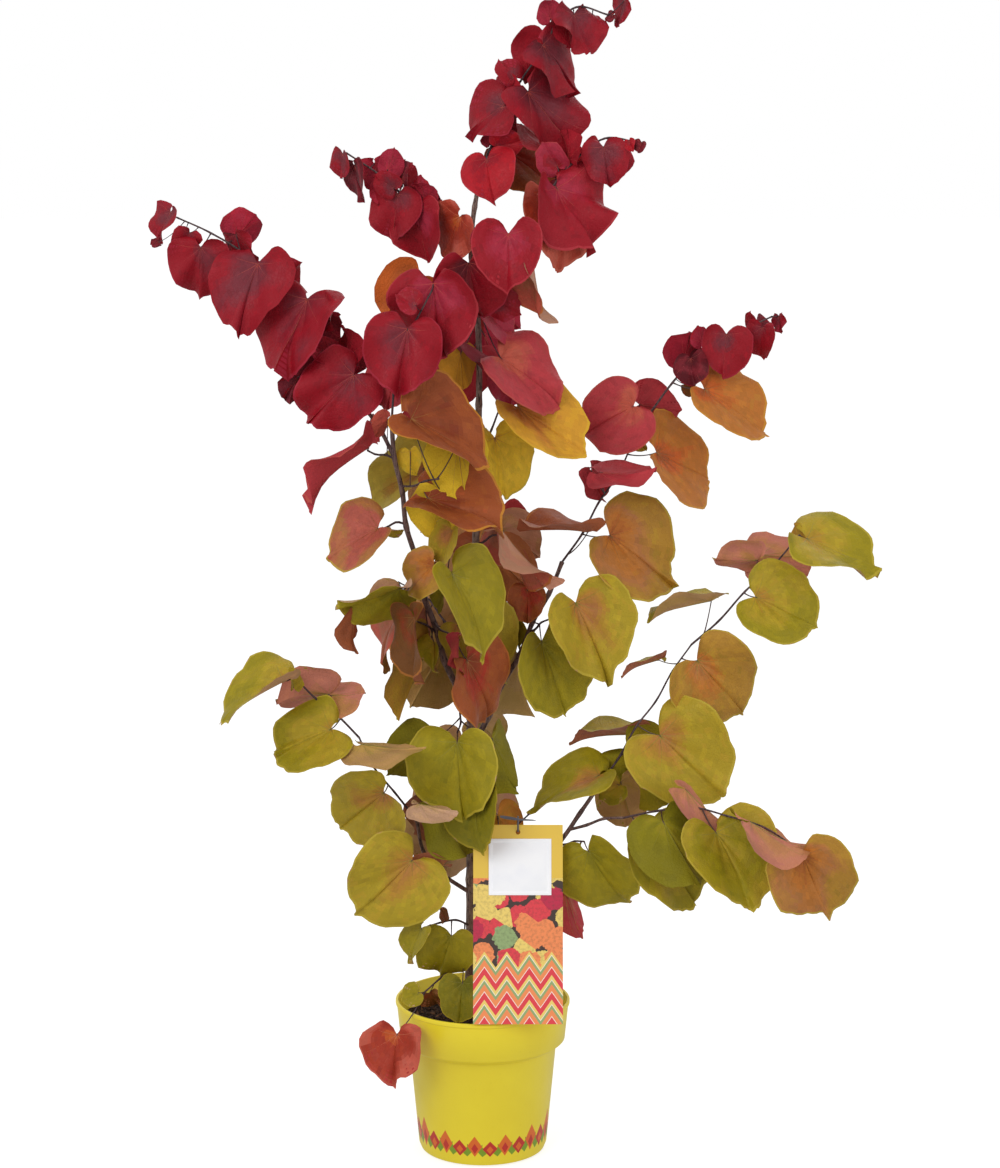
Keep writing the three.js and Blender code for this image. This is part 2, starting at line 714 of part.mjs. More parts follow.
// The trunk's line, with close rings in its root flare. The lowest lies level on the compost.
function trunkSolid() {
  const foot = vector(trunk.foot);
  const curve = new THREE.CatmullRomCurve3([foot, ...trunk.ways.map(vector)], false, "centripetal");
  const line = curve.getSpacedPoints(trunk.rings);
  line.splice(1, 0, foot.clone().lerp(line[1], 0.3), foot.clone().lerp(line[1], 0.8));
  line[1].x = foot.x;
  line[1].y = foot.y;
  const height = line[line.length - 1].z - foot.z;
  const radii = line.map((point) => {
    const rise = point.z - foot.z;
    const flare = Math.max(0, 1 - rise / trunk.flareHeight);
    return between([trunk.thick, trunk.thin], rise / height) + (trunk.flare - trunk.thick) * flare ** 2;
  });
  return limbSolid("trunk", line, radii, wood.trunkSides);
}

addPiece("pot", potSolid(), colours.pot, 0.45);
addPiece("soil", soilSolid(), colours.soil, 0.95);
addPiece("card", cardSolid(), colours.card, 0.4);
addPiece("card_tie", tieSolid(), colours.tie, 0.7);
addPiece("trunk", trunkSolid(), colours.bark, 0.85);

Object.entries(boughs).forEach(([place, bough]) => {
  const name = "bough_" + place;
  const start = pointAlong(limbs[bough.on].line, bough.at);
  const line = limbLine(start, vector(bough.tip), vector(bough.bow), wood.zigzag);
  const radii = taper(line, bough.thick, bough.thin);
  addPiece(name, limbSolid(name, line, radii, wood.boughSides, bough.on), colours.bark, 0.85);
});

// ---------------------------------------------------------------- foliage masses

function backRows(spray, seed) {
  const random = seeded(seed);
  const rows = [];
  for (let leaf = 0; leaf < backRule.leaves; leaf += 1) {
    const share = leaf / (backRule.leaves - 1);
    const side = leaf % 2 ? 1 : -1;
    const hang = 270 + side * backRule.spread * (0.5 + random());
    const length = spray.largest * between([1, backRule.smallest], share);
    const turn = 180 + backRule.turn * (2 * random() - 1);
    rows.push([between([backRule.first, 1], share), hang, backRule.stalk * length, hang, length, turn]);
  }
  return rows;
}

const masses = { ...sprays };
Object.entries(backSprays).forEach(([place, spray], i) => {
  masses[place] = { ...spray, bow: backRule.bow, rows: backRows(spray, backRule.seed + i) };
});

// All the twigs come first, so that every leaf can keep clear of them.
const twigs = {};
Object.entries(masses).forEach(([place, mass]) => {
  const name = "foliage_" + place;
  const start = pointAlong(limbs[mass.on].line, mass.at);
  const line = limbLine(start, vector(mass.tip), vector(mass.bow), wood.zigzag);
  const radii = taper(line, twig.thick, twig.thin);
  twigs[name] = limbSolid(name, line, radii, wood.twigSides, mass.on);
  keep(name, twigs[name]);
});

// The first move that clears the other nodes and, where one does, this node's own leaves too.
function roomyMove(name, node, row, seed, own) {
  let spareMove;
  for (const move of moves) {
    const place = leafPlace(node, row, seed, move);
    const blade = bladeSolid(place, clearance);
    const stem = stalkSolid(place, node, clearance);
    if (touches(name, blade) || touches(name, stem)) continue;
    const crossed = own.some((other) => meets(other, blade) || meets(other, stem));
    if (!crossed && !meets(twigs[name], blade)) return move;
    spareMove = spareMove ?? move;
  }
  return spareMove;
}

Object.entries(masses).forEach(([place, mass], massIndex) => {
  const name = "foliage_" + place;
  const own = [];
  let body = twigs[name];
  mass.rows.forEach((row, rowIndex) => {
    const node = pointAlong(limbs[name].line, row[0]);
    const seed = 101 * (massIndex + 1) + rowIndex;
    const move = roomyMove(name, node, row, seed, own);
    if (!move) return;
    const leaf = leafPlace(node, row, seed, move);
    const blade = bladeSolid(leaf, 0);
    const stem = stalkSolid(leaf, node, 0);
    own.push(blade, stem);
    keep(name, blade);
    keep(name, stem);
    body = body.add(blade.add(stem));
  });
  addMesh(name, mainPiece(body), colours[mass.tint], 0.55);
});

export default group;
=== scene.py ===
# A young redbud in autumn colour, potted. Metres, +Z up, seen from -Y, standing on the pot's foot.
import json
import math
import random

import bpy
import numpy as np
from mathutils import Euler, Matrix, Vector, noise
from mathutils.bvhtree import BVHTree

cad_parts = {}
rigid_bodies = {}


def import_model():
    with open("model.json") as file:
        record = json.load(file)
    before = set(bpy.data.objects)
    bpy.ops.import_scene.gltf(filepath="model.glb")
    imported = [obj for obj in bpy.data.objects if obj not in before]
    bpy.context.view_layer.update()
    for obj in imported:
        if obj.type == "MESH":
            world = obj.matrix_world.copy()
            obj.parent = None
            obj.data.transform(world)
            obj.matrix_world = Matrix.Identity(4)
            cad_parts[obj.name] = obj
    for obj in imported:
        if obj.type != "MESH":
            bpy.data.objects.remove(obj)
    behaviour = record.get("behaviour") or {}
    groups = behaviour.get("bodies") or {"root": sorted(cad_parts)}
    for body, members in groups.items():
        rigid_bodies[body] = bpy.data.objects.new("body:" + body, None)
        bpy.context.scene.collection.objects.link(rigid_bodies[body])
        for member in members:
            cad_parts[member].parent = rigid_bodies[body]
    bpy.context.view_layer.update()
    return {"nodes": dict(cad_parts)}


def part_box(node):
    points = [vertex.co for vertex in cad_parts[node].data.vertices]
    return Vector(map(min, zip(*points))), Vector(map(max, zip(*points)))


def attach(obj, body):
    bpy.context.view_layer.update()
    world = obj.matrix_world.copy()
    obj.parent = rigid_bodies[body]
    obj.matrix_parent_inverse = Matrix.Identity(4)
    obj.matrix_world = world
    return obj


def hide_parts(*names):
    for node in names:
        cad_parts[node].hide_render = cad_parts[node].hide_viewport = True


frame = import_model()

mm = 0.001


def deselectAll():
    for obj in bpy.data.objects:
        obj.select_set(False)
    bpy.context.view_layer.objects.active = None


def makeActive(obj):
    deselectAll()
    obj.select_set(True)
    bpy.context.view_layer.objects.active = obj


def applyPlace(obj):
    makeActive(obj)
    bpy.ops.object.transform_apply(location=True, rotation=True, scale=True)


def editFace(obj, score):  # into edit mode, with only the face that scores highest
    makeActive(obj)
    bpy.ops.object.mode_set(mode="EDIT")
    bpy.ops.mesh.select_mode(type="FACE")
    bpy.ops.mesh.select_all(action="DESELECT")
    bpy.ops.object.mode_set(mode="OBJECT")
    max(obj.data.polygons, key=score).select = True
    bpy.ops.object.mode_set(mode="EDIT")


def standIn(obj, slot, *nodes, smoothAngle):  # smooths a piece, lets it ride and hides what it replaces
    if smoothAngle:
        makeActive(obj)
        bpy.ops.object.shade_smooth_by_angle(angle=math.radians(smoothAngle))
    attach(obj, "root")
    if nodes:
        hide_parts(*nodes)


def finishPiece(obj, name, material, slot, *nodes, smoothAngle):
    applyPlace(obj)
    obj.name = obj.data.name = name
    obj.data.materials.append(material)
    standIn(obj, slot, *nodes, smoothAngle=smoothAngle)


class Heap:  # many small things gathered into one mesh, in millimetres, with a named finish on each face
    def __init__(self):
        self.points, self.faces, self.slots, self.finishes = [], [], [], {}

    def add(self, points, faces, finishes):
        start = len(self.points)
        self.points += [p * mm for p in points]
        self.faces += [tuple(start + i for i in face) for face in faces]
        if isinstance(finishes, str):
            finishes = [finishes] * len(faces)
        self.slots += [self.finishes.setdefault(finish, len(self.finishes)) for finish in finishes]

    def makePiece(self, name, slot, *nodes, smoothAngle=None):
        mesh = bpy.data.meshes.new(name)
        mesh.from_pydata([tuple(p) for p in self.points], [], self.faces)
        for finish in self.finishes:
            mesh.materials.append(bpy.data.materials[finish])
        mesh.polygons.foreach_set("material_index", self.slots)
        mesh.update()
        piece = bpy.data.objects.new(name, mesh)
        bpy.context.scene.collection.objects.link(piece)
        standIn(piece, slot, *nodes, smoothAngle=smoothAngle)


def linear(*rgb):  # a colour of 0 to 255 as a shader takes it
    return tuple(c / 255 / 12.92 if c <= 10 else ((c / 255 + 0.055) / 1.055) ** 2.4 for c in rgb) + (1,)


class Wires:  # a tree of shader nodes, where a value is a number, a colour or another node's socket
    def __init__(self, tree):
        self.tree = tree

    def feed(self, socket, value):
        if isinstance(value, bpy.types.NodeSocket):
            self.tree.links.new(value, socket)
        else:
            socket.default_value = value

    def node(self, kind, **values):
        node = self.tree.nodes.new("ShaderNode" + kind)
        for key, value in values.items():
            if key in node.inputs:
                self.feed(node.inputs[key], value)
            else:
                setattr(node, key, value)
        return node

    def dress(self, **values):  # feeds the material's own shader
        shader = self.tree.nodes["Principled BSDF"]
        for key, value in values.items():
            self.feed(shader.inputs[key.replace("_", " ")], value)

    def place(self):
        return self.node("TexCoord").outputs["Object"]

    def math(self, operation, *values):
        node = self.node("Math", operation=operation)
        for socket, value in zip(node.inputs, values):
            self.feed(socket, value)
        return node.outputs[0]

    def mix(self, factor, first, second):
        node = self.node("Mix", data_type="RGBA", Factor=factor)
        self.feed(node.inputs[6], first)
        self.feed(node.inputs[7], second)
        return node.outputs[2]

    def ramp(self, factor, *stops, **settings):
        node = self.node("ValToRGB", Fac=factor)
        colours = node.color_ramp
        while len(colours.elements) < len(stops):
            colours.elements.new(0.5)
        for element, (place, shade) in zip(colours.elements, stops):
            element.position = place
            element.color = shade if isinstance(shade, tuple) else (shade, shade, shade, 1)
        for key, value in settings.items():
            setattr(colours, key, value)
        return node.outputs["Color"]

    def noise(self, place, scale, detail=3, rough=0.55):
        return self.node("TexNoise", Vector=place, Scale=scale, Detail=detail, Roughness=rough).outputs["Fac"]

    def bump(self, height, distance, strength=1):
        return self.node("Bump", Height=height, Distance=distance, Strength=strength).outputs["Normal"]


def newFinish(name, **values):
    material = bpy.data.materials.new(name)
    material.use_nodes = True
    wires = Wires(material.node_tree)
    wires.dress(**values)
    return material, wires


def newEffect(name, outputs, **inputs):  # a node group that several finishes share
    group = bpy.data.node_groups.new(name, "ShaderNodeTree")
    kinds = ("NodeSocketFloat", "NodeSocketColor")
    for title, value in inputs.items():
        kind = kinds[isinstance(value, tuple)]
        group.interface.new_socket(name=title, in_out="INPUT", socket_type=kind).default_value = value
    for title in outputs:
        group.interface.new_socket(name=title, in_out="OUTPUT", socket_type=kinds[title == "Color"])
    given, result = group.nodes.new("NodeGroupInput").outputs, group.nodes.new("NodeGroupOutput").inputs
    return group, Wires(group), given, result


def wearEffect(name, effect, relief, shader=None, **values):  # a finish that wears a shared effect
    material, wires = newFinish(name, **(shader or {}))
    values = {key: linear(*value) if isinstance(value, tuple) else value for key, value in values.items()}
    worn = wires.node("Group", node_tree=effect, **values).outputs
    for output, socket in (("Color", "Base_Color"), ("Roughness", "Roughness")):
        if output in worn:
            wires.dress(**{socket: worn[output]})
    wires.dress(Normal=wires.bump(worn["Height"], relief))
    return material


# Leaf skin: a faint net of veins, fine grain and a sheen that comes and goes in patches.
leafSkin, wires, given, result = newEffect("leafSkin", ("Roughness", "Height"), Shine=0.45, Net=0.5)
place = wires.place()
cloud = wires.ramp(wires.noise(place, scale=40, detail=4), (0.35, 0), (0.68, 1))
net = wires.node("TexVoronoi", feature="DISTANCE_TO_EDGE", Scale=230, Vector=place)
netLine = wires.ramp(net.outputs["Distance"], (0, 0), (0.12, 1))
grain = wires.math("MULTIPLY", wires.noise(place, scale=420), 0.6)
wires.feed(result["Roughness"], wires.math("MULTIPLY_ADD", cloud, 0.22, given["Shine"]))
wires.feed(result["Height"], wires.math("MULTIPLY_ADD", netLine, given["Net"], grain))

# Bark: long cracks, pale dashes across and a soft mottle.
grey = (0.2, 0.2, 0.2, 1)
barkSkin, wires, given, result = newEffect("barkSkin", ("Color", "Roughness", "Height"), Main=grey, Pale=grey,
                                           Dark=grey)
place = wires.place()
upright, level = (wires.node("Mapping", Vector=place, Scale=(1, 1, squeeze)).outputs[0]
                  for squeeze in (0.22, 3.2))
cracks = wires.ramp(wires.noise(upright, scale=420, detail=4, rough=0.7), (0.36, 0), (0.5, 1))
dashes = wires.ramp(wires.noise(level, scale=260, detail=1, rough=0.4), (0.66, 0), (0.72, 1))
mottle = wires.ramp(wires.noise(place, scale=60), (0.4, 0), (0.65, 1))
tone = wires.mix(wires.math("MULTIPLY", mottle, 0.6), given["Main"], given["Pale"])
tone = wires.mix(wires.math("SUBTRACT", 1, cracks), tone, given["Dark"])
tone = wires.mix(wires.math("MULTIPLY", dashes, 0.7), tone, given["Pale"])
wires.feed(result["Color"], tone)
wires.feed(result["Roughness"], wires.math("MULTIPLY_ADD", cracks, -0.2, 0.8))
wires.feed(result["Height"], wires.math("MULTIPLY_ADD", dashes, 0.5, cracks))


def newPatches(name, patch, band, grain):  # one colour that turns to another in patches, with a grain
    effect, wires, given, result = newEffect(name, ("Color", "Height"), Main=grey, Patch=grey)
    place = wires.place()
    patches = wires.ramp(wires.noise(place, *patch), (band[0], 0), (band[1], 1))
    wires.feed(result["Color"], wires.mix(patches, given["Main"], given["Patch"]))
    wires.feed(result["Height"], wires.noise(place, *grain))
    return effect


# Each noise is a scale, a detail and a roughness.
stalkSkin = newPatches("stalkSkin", (120, 3), (0.38, 0.66), (700, 2))
compostSkin = newPatches("compostSkin", (320, 5, 0.7), (0.52, 0.64), (380, 6, 0.75))
paperSkin = newPatches("paperSkin", (30, 3), (0.4, 0.8), (900, 3))
print("effects ready")


# The tree grows by the same rule as its solids, in millimetres until a mesh is made.
trunkStyle = dict(foot=(-15, 0, 169.3), rings=18, flare=11.5, flareHeight=34, thick=6.6, thin=2.6,
                  footRings=(0.3, 0.8),
                  ways=[(-13, 0, 547), (-8, 4, 772), (-4, 0, 1031), (-13, 0, 1155), (5, 0, 1244)])

boughs = {
    "left_tall": dict(on="trunk", at=0.35, tip=(-107, -90, 934), bow=(-16, 0, 0), thick=4.2, thin=2.6),
    "left_upper": dict(on="bough_left_tall", at=0.89, tip=(-158, -60, 984), bow=(0, 0, 0), thick=2.6, thin=2),
    "upper_right": dict(on="trunk", at=0.84, tip=(75, -45, 1198), bow=(-6, -6, 0), thick=2.2, thin=1.7),
    "right_mid": dict(on="trunk", at=0.325, tip=(100, 60, 743), bow=(2, 0, 0), thick=3.6, thin=2.6),
    "right_low": dict(on="trunk", at=0.135, tip=(146, -10, 473), bow=(14, -14, -6), thick=3.8, thin=2.4),
    "right_side": dict(on="bough_right_low", at=0.7, tip=(173, -60, 443), bow=(0, 0, 3), thick=2, thin=1.5),
    "left_low": dict(on="trunk", at=0.15, tip=(-81, -40, 435), bow=(-14, 0, -10), thick=2.8, thin=2),
}

limbStyle = dict(nodeSpacing=46, fewestBends=3, zigzag=1.6, twigThick=2.0, twigThin=1.4)

# A leaf: place along its twig, the way its stalk points and its length, the way its tip hangs, its
# length, its turn about the midrib (0 upper face, 90 edge, 180 underside) and its tint, with its
# underside's colour after a stroke.
foliage = {
    "low_twig": dict(on="trunk", at=0.11, tip=(-71, -60, 304), bow=(0, 0, 8), leaves=[
        (0.45, 270, 12, 256, 66, 6, "green"), (1, 180, 4, 245, 52, 60, "green"),
        (0.6, 90, 3, 100, 18, 55, "brown"), (0.15, 268, 60, 265, 52, 20, "darkGreen"),
    ]),
    "low_heart": dict(on="trunk", at=0.06, tip=(-71, -62, 222), bow=(0, 0, 10), leaves=[
        (1, 235, 60, 260, 66, 22, "redRust"), (1, 180, 8, 210, 26, 25, "green"),
        (0.8, 240, 12, 300, 26, 20, "brown"),
    ]),
    "left_foot": dict(on="bough_left_low", at=0.45, tip=(-68, -60, 392), bow=(0, 0, 0), leaves=[
        (1, 175, 18, 226, 104, -8, "oliveFlush"), (0.3, 20, 10, 182, 48, 120, "olive/pinkBrown"),
    ]),
    "centre_foot": dict(on="trunk", at=0.22, tip=(-14, -60, 478), bow=(0, -10, 0), leaves=[
        (1, 30, 10, 263, 82, 48, "darkGreen"), (0.9, 195, 38, 300, 84, 118, "darkGreen/midGreen"),
        (0.6, 150, 30, 268, 38, 125, "green/pink"),
    ]),
    "centre_low": dict(on="bough_left_tall", at=0.08, tip=(-30, -70, 552), bow=(0, 0, 0), leaves=[
        (1, 270, 8, 270, 104, 20, "green"), (0.5, 219, 52, 216, 66, 165, "green/midGreen"),
        (0.6, 328, 46, 284, 76, 135, "green/midGreen"),
    ]),
    "centre_right": dict(on="trunk", at=0.17, tip=(58, -56, 447), bow=(0, -10, 4), leaves=[
        (0.55, 95, 34, 290, 62, 160, "olive/goldBrown"),
    ]),
    "centre_mid": dict(on="bough_left_tall", at=0.36, tip=(-31, -100, 672), bow=(0, -8, 0), leaves=[
        (0.2, 350, 6, 308, 124, -64, "mauveOlive"), (1, 295, 30, 291, 104, -50, "rust"),
        (1, 10, 4, 264, 44, 106, "rust/pinkRed"),
    ]),
    "left_hang": dict(on="bough_left_tall", at=0.32, tip=(-96, -84, 704), bow=(0, 0, 0), leaves=[
        (0.6, 90, 12, 268, 86, 65, "brown"), (1, 230, 15, 251, 88, 72, "pinkRust"),
        (0.3, 98, 18, 273, 48, 118, "olive/pink"), (0.15, 262, 18, 241, 104, 110, "olive/warmOlive"),
        (0.2, 290, 14, 262, 40, 60, "olive"),
    ]),
    "left_drop": dict(on="bough_left_tall", at=0.46, tip=(-90, -80, 736), bow=(0, 0, 0), leaves=[
        (0.9, 190, 12, 203, 84, -74, "green"), (0.9, 208, 72, 258, 52, 106, "rust/pinkBrown"),
        (0.3, 62, 43, 222, 57, 28, "copper"), (0.2, 36, 36, 219, 38, 150, "rust/brown"),
    ]),
    "centre_left": dict(on="bough_left_tall", at=0.52, tip=(-41, -96, 753), bow=(0, -6, 4), leaves=[
        (1, 15, 6, 300, 110, -56, "green"), (1, 84, 52, 248, 49, 58, "oliveFlush"),
        (0.95, 285, 9, 254, 43, 118, "green/midGreen"),
    ]),
    "left_mid": dict(on="bough_left_tall", at=0.68, tip=(-124, -78, 802), bow=(0, 0, 4), leaves=[
        (1, 90, 4, 213, 76, 44, "roseOlive"), (0.8, 0, 3, 350, 24, 60, "olive"),
    ]),
    "left_high": dict(on="bough_left_tall", at=0.885, tip=(-136, -92, 900), bow=(0, 0, 0), leaves=[
        (1, 60, 4, 213, 104, 94, "salmon/pinkRed"), (0.3, 88, 44, 222, 30, 135, "salmon/salmon"),
    ]),
    "left_gold": dict(on="bough_left_tall", at=0.8, tip=(-50, -110, 868), bow=(0, -10, 0), leaves=[
        (0.6, 297, 19, 344, 102, -56, "brownGold"), (0.9, 110, 78, 333, 112, -56, "brownGold"),
        (0.5, 60, 13, 208, 84, 46, "goldRose"), (0.9, 300, 20, 266, 71, 145, "yellow/yellow"),
        (0.95, 60, 50, 275, 76, 160, "yellow/yellow"), (0.3, 90, 40, 277, 30, 30, "yellow"),
    ]),
    "left_inner": dict(on="bough_left_tall", at=1, tip=(-58, -100, 1090), bow=(-14, -6, 0), leaves=[
        (0.7, 180, 5, 261, 84, 5, "crimson"), (1, 80, 8, 276, 91, 18, "pinkCrimson"),
        (0.95, 130, 24, 227, 70, 165, "rust/orange"), (0.35, 90, 4, 250, 54, 20, "salmon"),
    ]),
    "right_inner": dict(on="trunk", at=0.66, tip=(40, 30, 962), bow=(0, 0, 8), leaves=[
        (1, 99, 22, 266, 60, 50, "magenta"), (0.85, 330, 14, 324, 104, -48, "gold"),
        (0.3, 0, 8, 288, 80, -40, "yellow"),
    ]),
    "right_centre": dict(on="trunk", at=0.56, tip=(22, -10, 787), bow=(0, 0, 2), leaves=[
        (1, 60, 6, 306, 92, 76, "pinkRust"),
    ]),
    "right_nook": dict(on="bough_right_mid", at=0.75, tip=(56, 15, 712), bow=(0, 0, 0), leaves=[
        (1, 90, 4, 268, 44, 4, "rust"),
    ]),
    "right_base": dict(on="bough_right_mid", at=0.62, tip=(81, 20, 676), bow=(0, 0, 0), leaves=[
        (0.6, 277, 20, 289, 110, -42, "green"), (1, 35, 42, 295, 106, -28, "oliveFlush"),
        (0.3, 241, 38, 269, 110, 114, "green/paleMauve"),
        (0.6, 150, 40, 268, 88, 118, "darkGreen/darkGreen"),
    ]),
    "crown": dict(on="trunk", at=0.82, tip=(26, -86, 1136), bow=(0, -14, 0), leaves=[
        (0.8, 170, 33, 276, 84, 2, "crimson"), (1, 74, 21, 268, 74, 5, "pinkCrimson"),
        (0.9, 355, 40, 275, 76, 74, "pinkRust"), (0.12, 0, 5, 317, 58, -50, "magenta"),
        (0.12, 294, 61, 325, 100, -46, "salmon"), (0.12, 226, 41, 319, 59, 78, "wine"),
        (0.12, 245, 56, 272, 46, 160, "gold/gold"),
    ]),
    "upper_left": dict(on="trunk", at=0.905, tip=(-166, 46, 1250), bow=(0, 0, 0), leaves=[
        (1, 190, 4, 262, 33, 50, "dusky"), (0.93, 270, 8, 279, 48, 62, "wine"),
        (0.82, 45, 8, 282, 40, 140, "crimson/magenta"), (0.53, 100, 14, 84, 31, 114, "crimson/dusky"),
        (0.58, 270, 4, 259, 61, 28, "crimson"), (0.42, 250, 4, 274, 68, 35, "pinkCrimson"),
        (0.22, 250, 17, 91, 41, 120, "crimson/pinkRed"), (0.1, 90, 19, 250, 64, 40, "redRust"),
    ]),
    "leader": dict(on="trunk", at=1, tip=(74, -10, 1372), bow=(-4, 0, 4), leaves=[
        (0.02, 270, 4, 272, 58, 20, "bright"), (0.46, 180, 6, 212, 61, 38, "crimson"),
        (0.48, 180, 6, 88, 43, 135, "crimson/crimson"), (0.7, 180, 14, 307, 58, 110, "crimson/magenta"),
        (0.6, 355, 14, 305, 90, -40, "dusky"), (0.3, 0, 24, 323, 77, 98, "crimson/pinkRed"),
        (0.08, 355, 19, 323, 80, -42, "rust"),
    ]),
    "leader_tip": dict(on="foliage_leader", at=1, tip=(150, -14, 1412), bow=(-10, 0, 24), leaves=[
        (0.06, 100, 4, 240, 54, 168, "crimson/crimson"), (0.06, 190, 4, 310, 74, -42, "dusky"),
        (0.5, 270, 6, 270, 38, 125, "crimson/crimson"), (0.58, 270, 5, 284, 58, -42, "dusky"),
        (1, 41, 26, 253, 33, 62, "dusky"), (1, 0, 7, 214, 13, 40, "wine"),
    ]),
    "upper_right": dict(on="bough_upper_right", at=1, tip=(184, -72, 1262), bow=(0, 0, 28), leaves=[
        (0.62, 350, 9, 277, 48, 12, "dusky"), (0.9, 0, 3, 285, 14, 40, "bright"),
        (1, 0, 4, 250, 14, 30, "wine"), (0.25, 72, 18, 88, 38, 130, "crimson/crimson"),
        (0.5, 95, 6, 277, 58, 145, "bright/brightCrimson"), (0.15, 270, 5, 304, 90, -44, "pinkCrimson"),
        (0.06, 280, 6, 287, 91, -43, "redRust"), (0.2, 180, 4, 342, 46, 48, "dusky"),
    ]),
    "left_spray_inner": dict(on="bough_left_upper", at=1, tip=(-245, -10, 1085), bow=(-6, 0, 8), leaves=[
        (0.06, 350, 11, 225, 85, 12, "crimson"), (0.22, 74, 21, 234, 83, 150, "crimson/duskyCrimson"),
        (0.15, 15, 10, 90, 42, 130, "crimson/crimson"), (0.3, 221, 51, 247, 34, 150, "crimson/dusky"),
        (0.85, 15, 24, 247, 103, 38, "crimson"), (0.5, 45, 15, 80, 42, 112, "crimson/crimson"),
    ]),
    "left_spray_outer": dict(
        on="foliage_left_spray_inner", at=1, tip=(-372, 30, 1172), bow=(0, 0, 14), leaves=[
        (0.03, 60, 6, 51, 38, 45, "crimson"), (0.15, 118, 18, 256, 90, 20, "dusky"),
        (0.42, 106, 22, 299, 44, 45, "crimson"), (0.7, 236, 20, 267, 66, 6, "crimson"),
        (1, 135, 10, 240, 41, 56, "dusky"), (0.93, 219, 40, 190, 12, 30, "wine"),
        (0.9, 245, 32, 240, 10, 20, "wine"),
    ]),
    "right_mid_inner": dict(on="bough_right_mid", at=1, tip=(209, 104, 923), bow=(4, 0, 0), leaves=[
        (0.2, 0, 34, 323, 114, -36, "copper"), (0.05, 54, 42, 172, 90, 94, "rust/pinkBrown"),
        (0.47, 103, 32, 355, 72, 110, "crimson/pinkRed"), (0.47, 120, 34, 284, 42, 130, "crimson/pinkRed"),
        (0.92, 112, 30, 211, 80, 14, "salmon"), (0.9, 90, 30, 350, 56, 168, "crimson/pinkRed"),
        (0.74, 5, 36, 328, 108, -50, "orangeGold"), (0.84, 90, 6, 302, 28, 130, "olive/paleOlive"),
    ]),
    "right_mid_outer": dict(
        on="foliage_right_mid_inner", at=1, tip=(366, 130, 1046), bow=(-14, 0, 14), leaves=[
        (0.6, 45, 20, 269, 56, 4, "crimson"), (0.25, 349, 40, 327, 104, -54, "orangeGold"),
        (0.35, 62, 18, 275, 40, 28, "wine"), (0.5, 0, 10, 290, 46, 160, "crimson/darkWine"),
        (0.85, 0, 14, 262, 42, 38, "crimson"), (0.88, 60, 6, 300, 28, 150, "crimson/dusky"),
        (1, 5, 8, 272, 22, 58, "dusky"), (0.28, 330, 14, 320, 20, 140, "rust/brown"),
        (0.84, 80, 4, 90, 16, 130, "crimson/crimson"),
    ]),
    "right_low_inner": dict(on="bough_right_low", at=1, tip=(262, 45, 640), bow=(0, 0, 0), leaves=[
        (0.42, 340, 29, 316, 114, -12, "oliveFlush"), (0.9, 0, 18, 313, 102, -8, "oliveGold"),
        (0.2, 36, 28, 178, 86, 102, "olive/pinkBrown"), (0.05, 150, 8, 201, 96, 76, "greenPink/mauve"),
        (0.05, 340, 22, 284, 66, 160, "olive/mauve"), (0.22, 20, 10, 315, 92, 168, "green/green"),
        (0.86, 170, 24, 195, 54, 106, "olive/pinkBrown"), (0.06, 330, 20, 222, 34, 20, "olive"),
    ]),
    "right_low_outer": dict(on="foliage_right_low_inner", at=1, tip=(398, 68, 776), bow=(0, 0, -4), leaves=[
        (0.48, 345, 14, 338, 90, -28, "olive"), (0.11, 78, 42, 188, 84, 100, "olive/mauve"),
        (0.58, 84, 27, 181, 54, 142, "olive/pink"), (0.6, 80, 25, 356, 76, 134, "olive/pink"),
        (1, 335, 9, 338, 104, -62, "olive"), (0.98, 270, 8, 85, 26, 125, "olive/warmOlive"),
    ]),
    "right_side": dict(on="bough_right_side", at=1, tip=(380, -138, 424), bow=(0, 0, 28), leaves=[
        (0.05, 314, 36, 305, 104, -30, "olive"), (0.45, 302, 29, 300, 106, -32, "yellowGreen"),
        (1, 315, 4, 296, 94, 6, "copper"), (0.22, 270, 4, 296, 88, 160, "olive/midGreen"),
        (0.35, 87, 23, 312, 72, 104, "olive/pink"), (0.68, 75, 12, 326, 92, 110, "olive/pink"),
    ]),
    "right_under": dict(on="bough_right_low", at=0.6, tip=(126, -44, 409), bow=(0, 0, 0), leaves=[
        (1, 300, 10, 302, 94, 30, "green"), (0.9, 249, 60, 284, 74, 120, "olive/pinkRed"),
    ]),
    "left_low_inner": dict(on="bough_left_low", at=1, tip=(-150, -66, 545), bow=(-6, 0, 0), leaves=[
        (0.45, 235, 8, 224, 96, 6, "oliveFlush"), (0.7, 106, 38, 354, 82, 100, "olive/mauve"),
        (0.1, 66, 30, 345, 52, 100, "olive/paleMauve"), (0.06, 56, 30, 257, 64, 102, "olive/pink"),
    ]),
    "left_low_outer": dict(on="foliage_left_low_inner", at=1, tip=(-228, -80, 624), bow=(0, 0, 0), leaves=[
        (0.3, 222, 14, 204, 84, 36, "olive"), (0.42, 97, 20, 182, 72, 134, "olive/pink"),
        (0.42, 94, 19, 358, 46, 138, "olive/pink"), (1, 195, 10, 202, 96, 64, "olive"),
        (0.98, 270, 8, 92, 26, 125, "olive/olive"),
    ]),
}
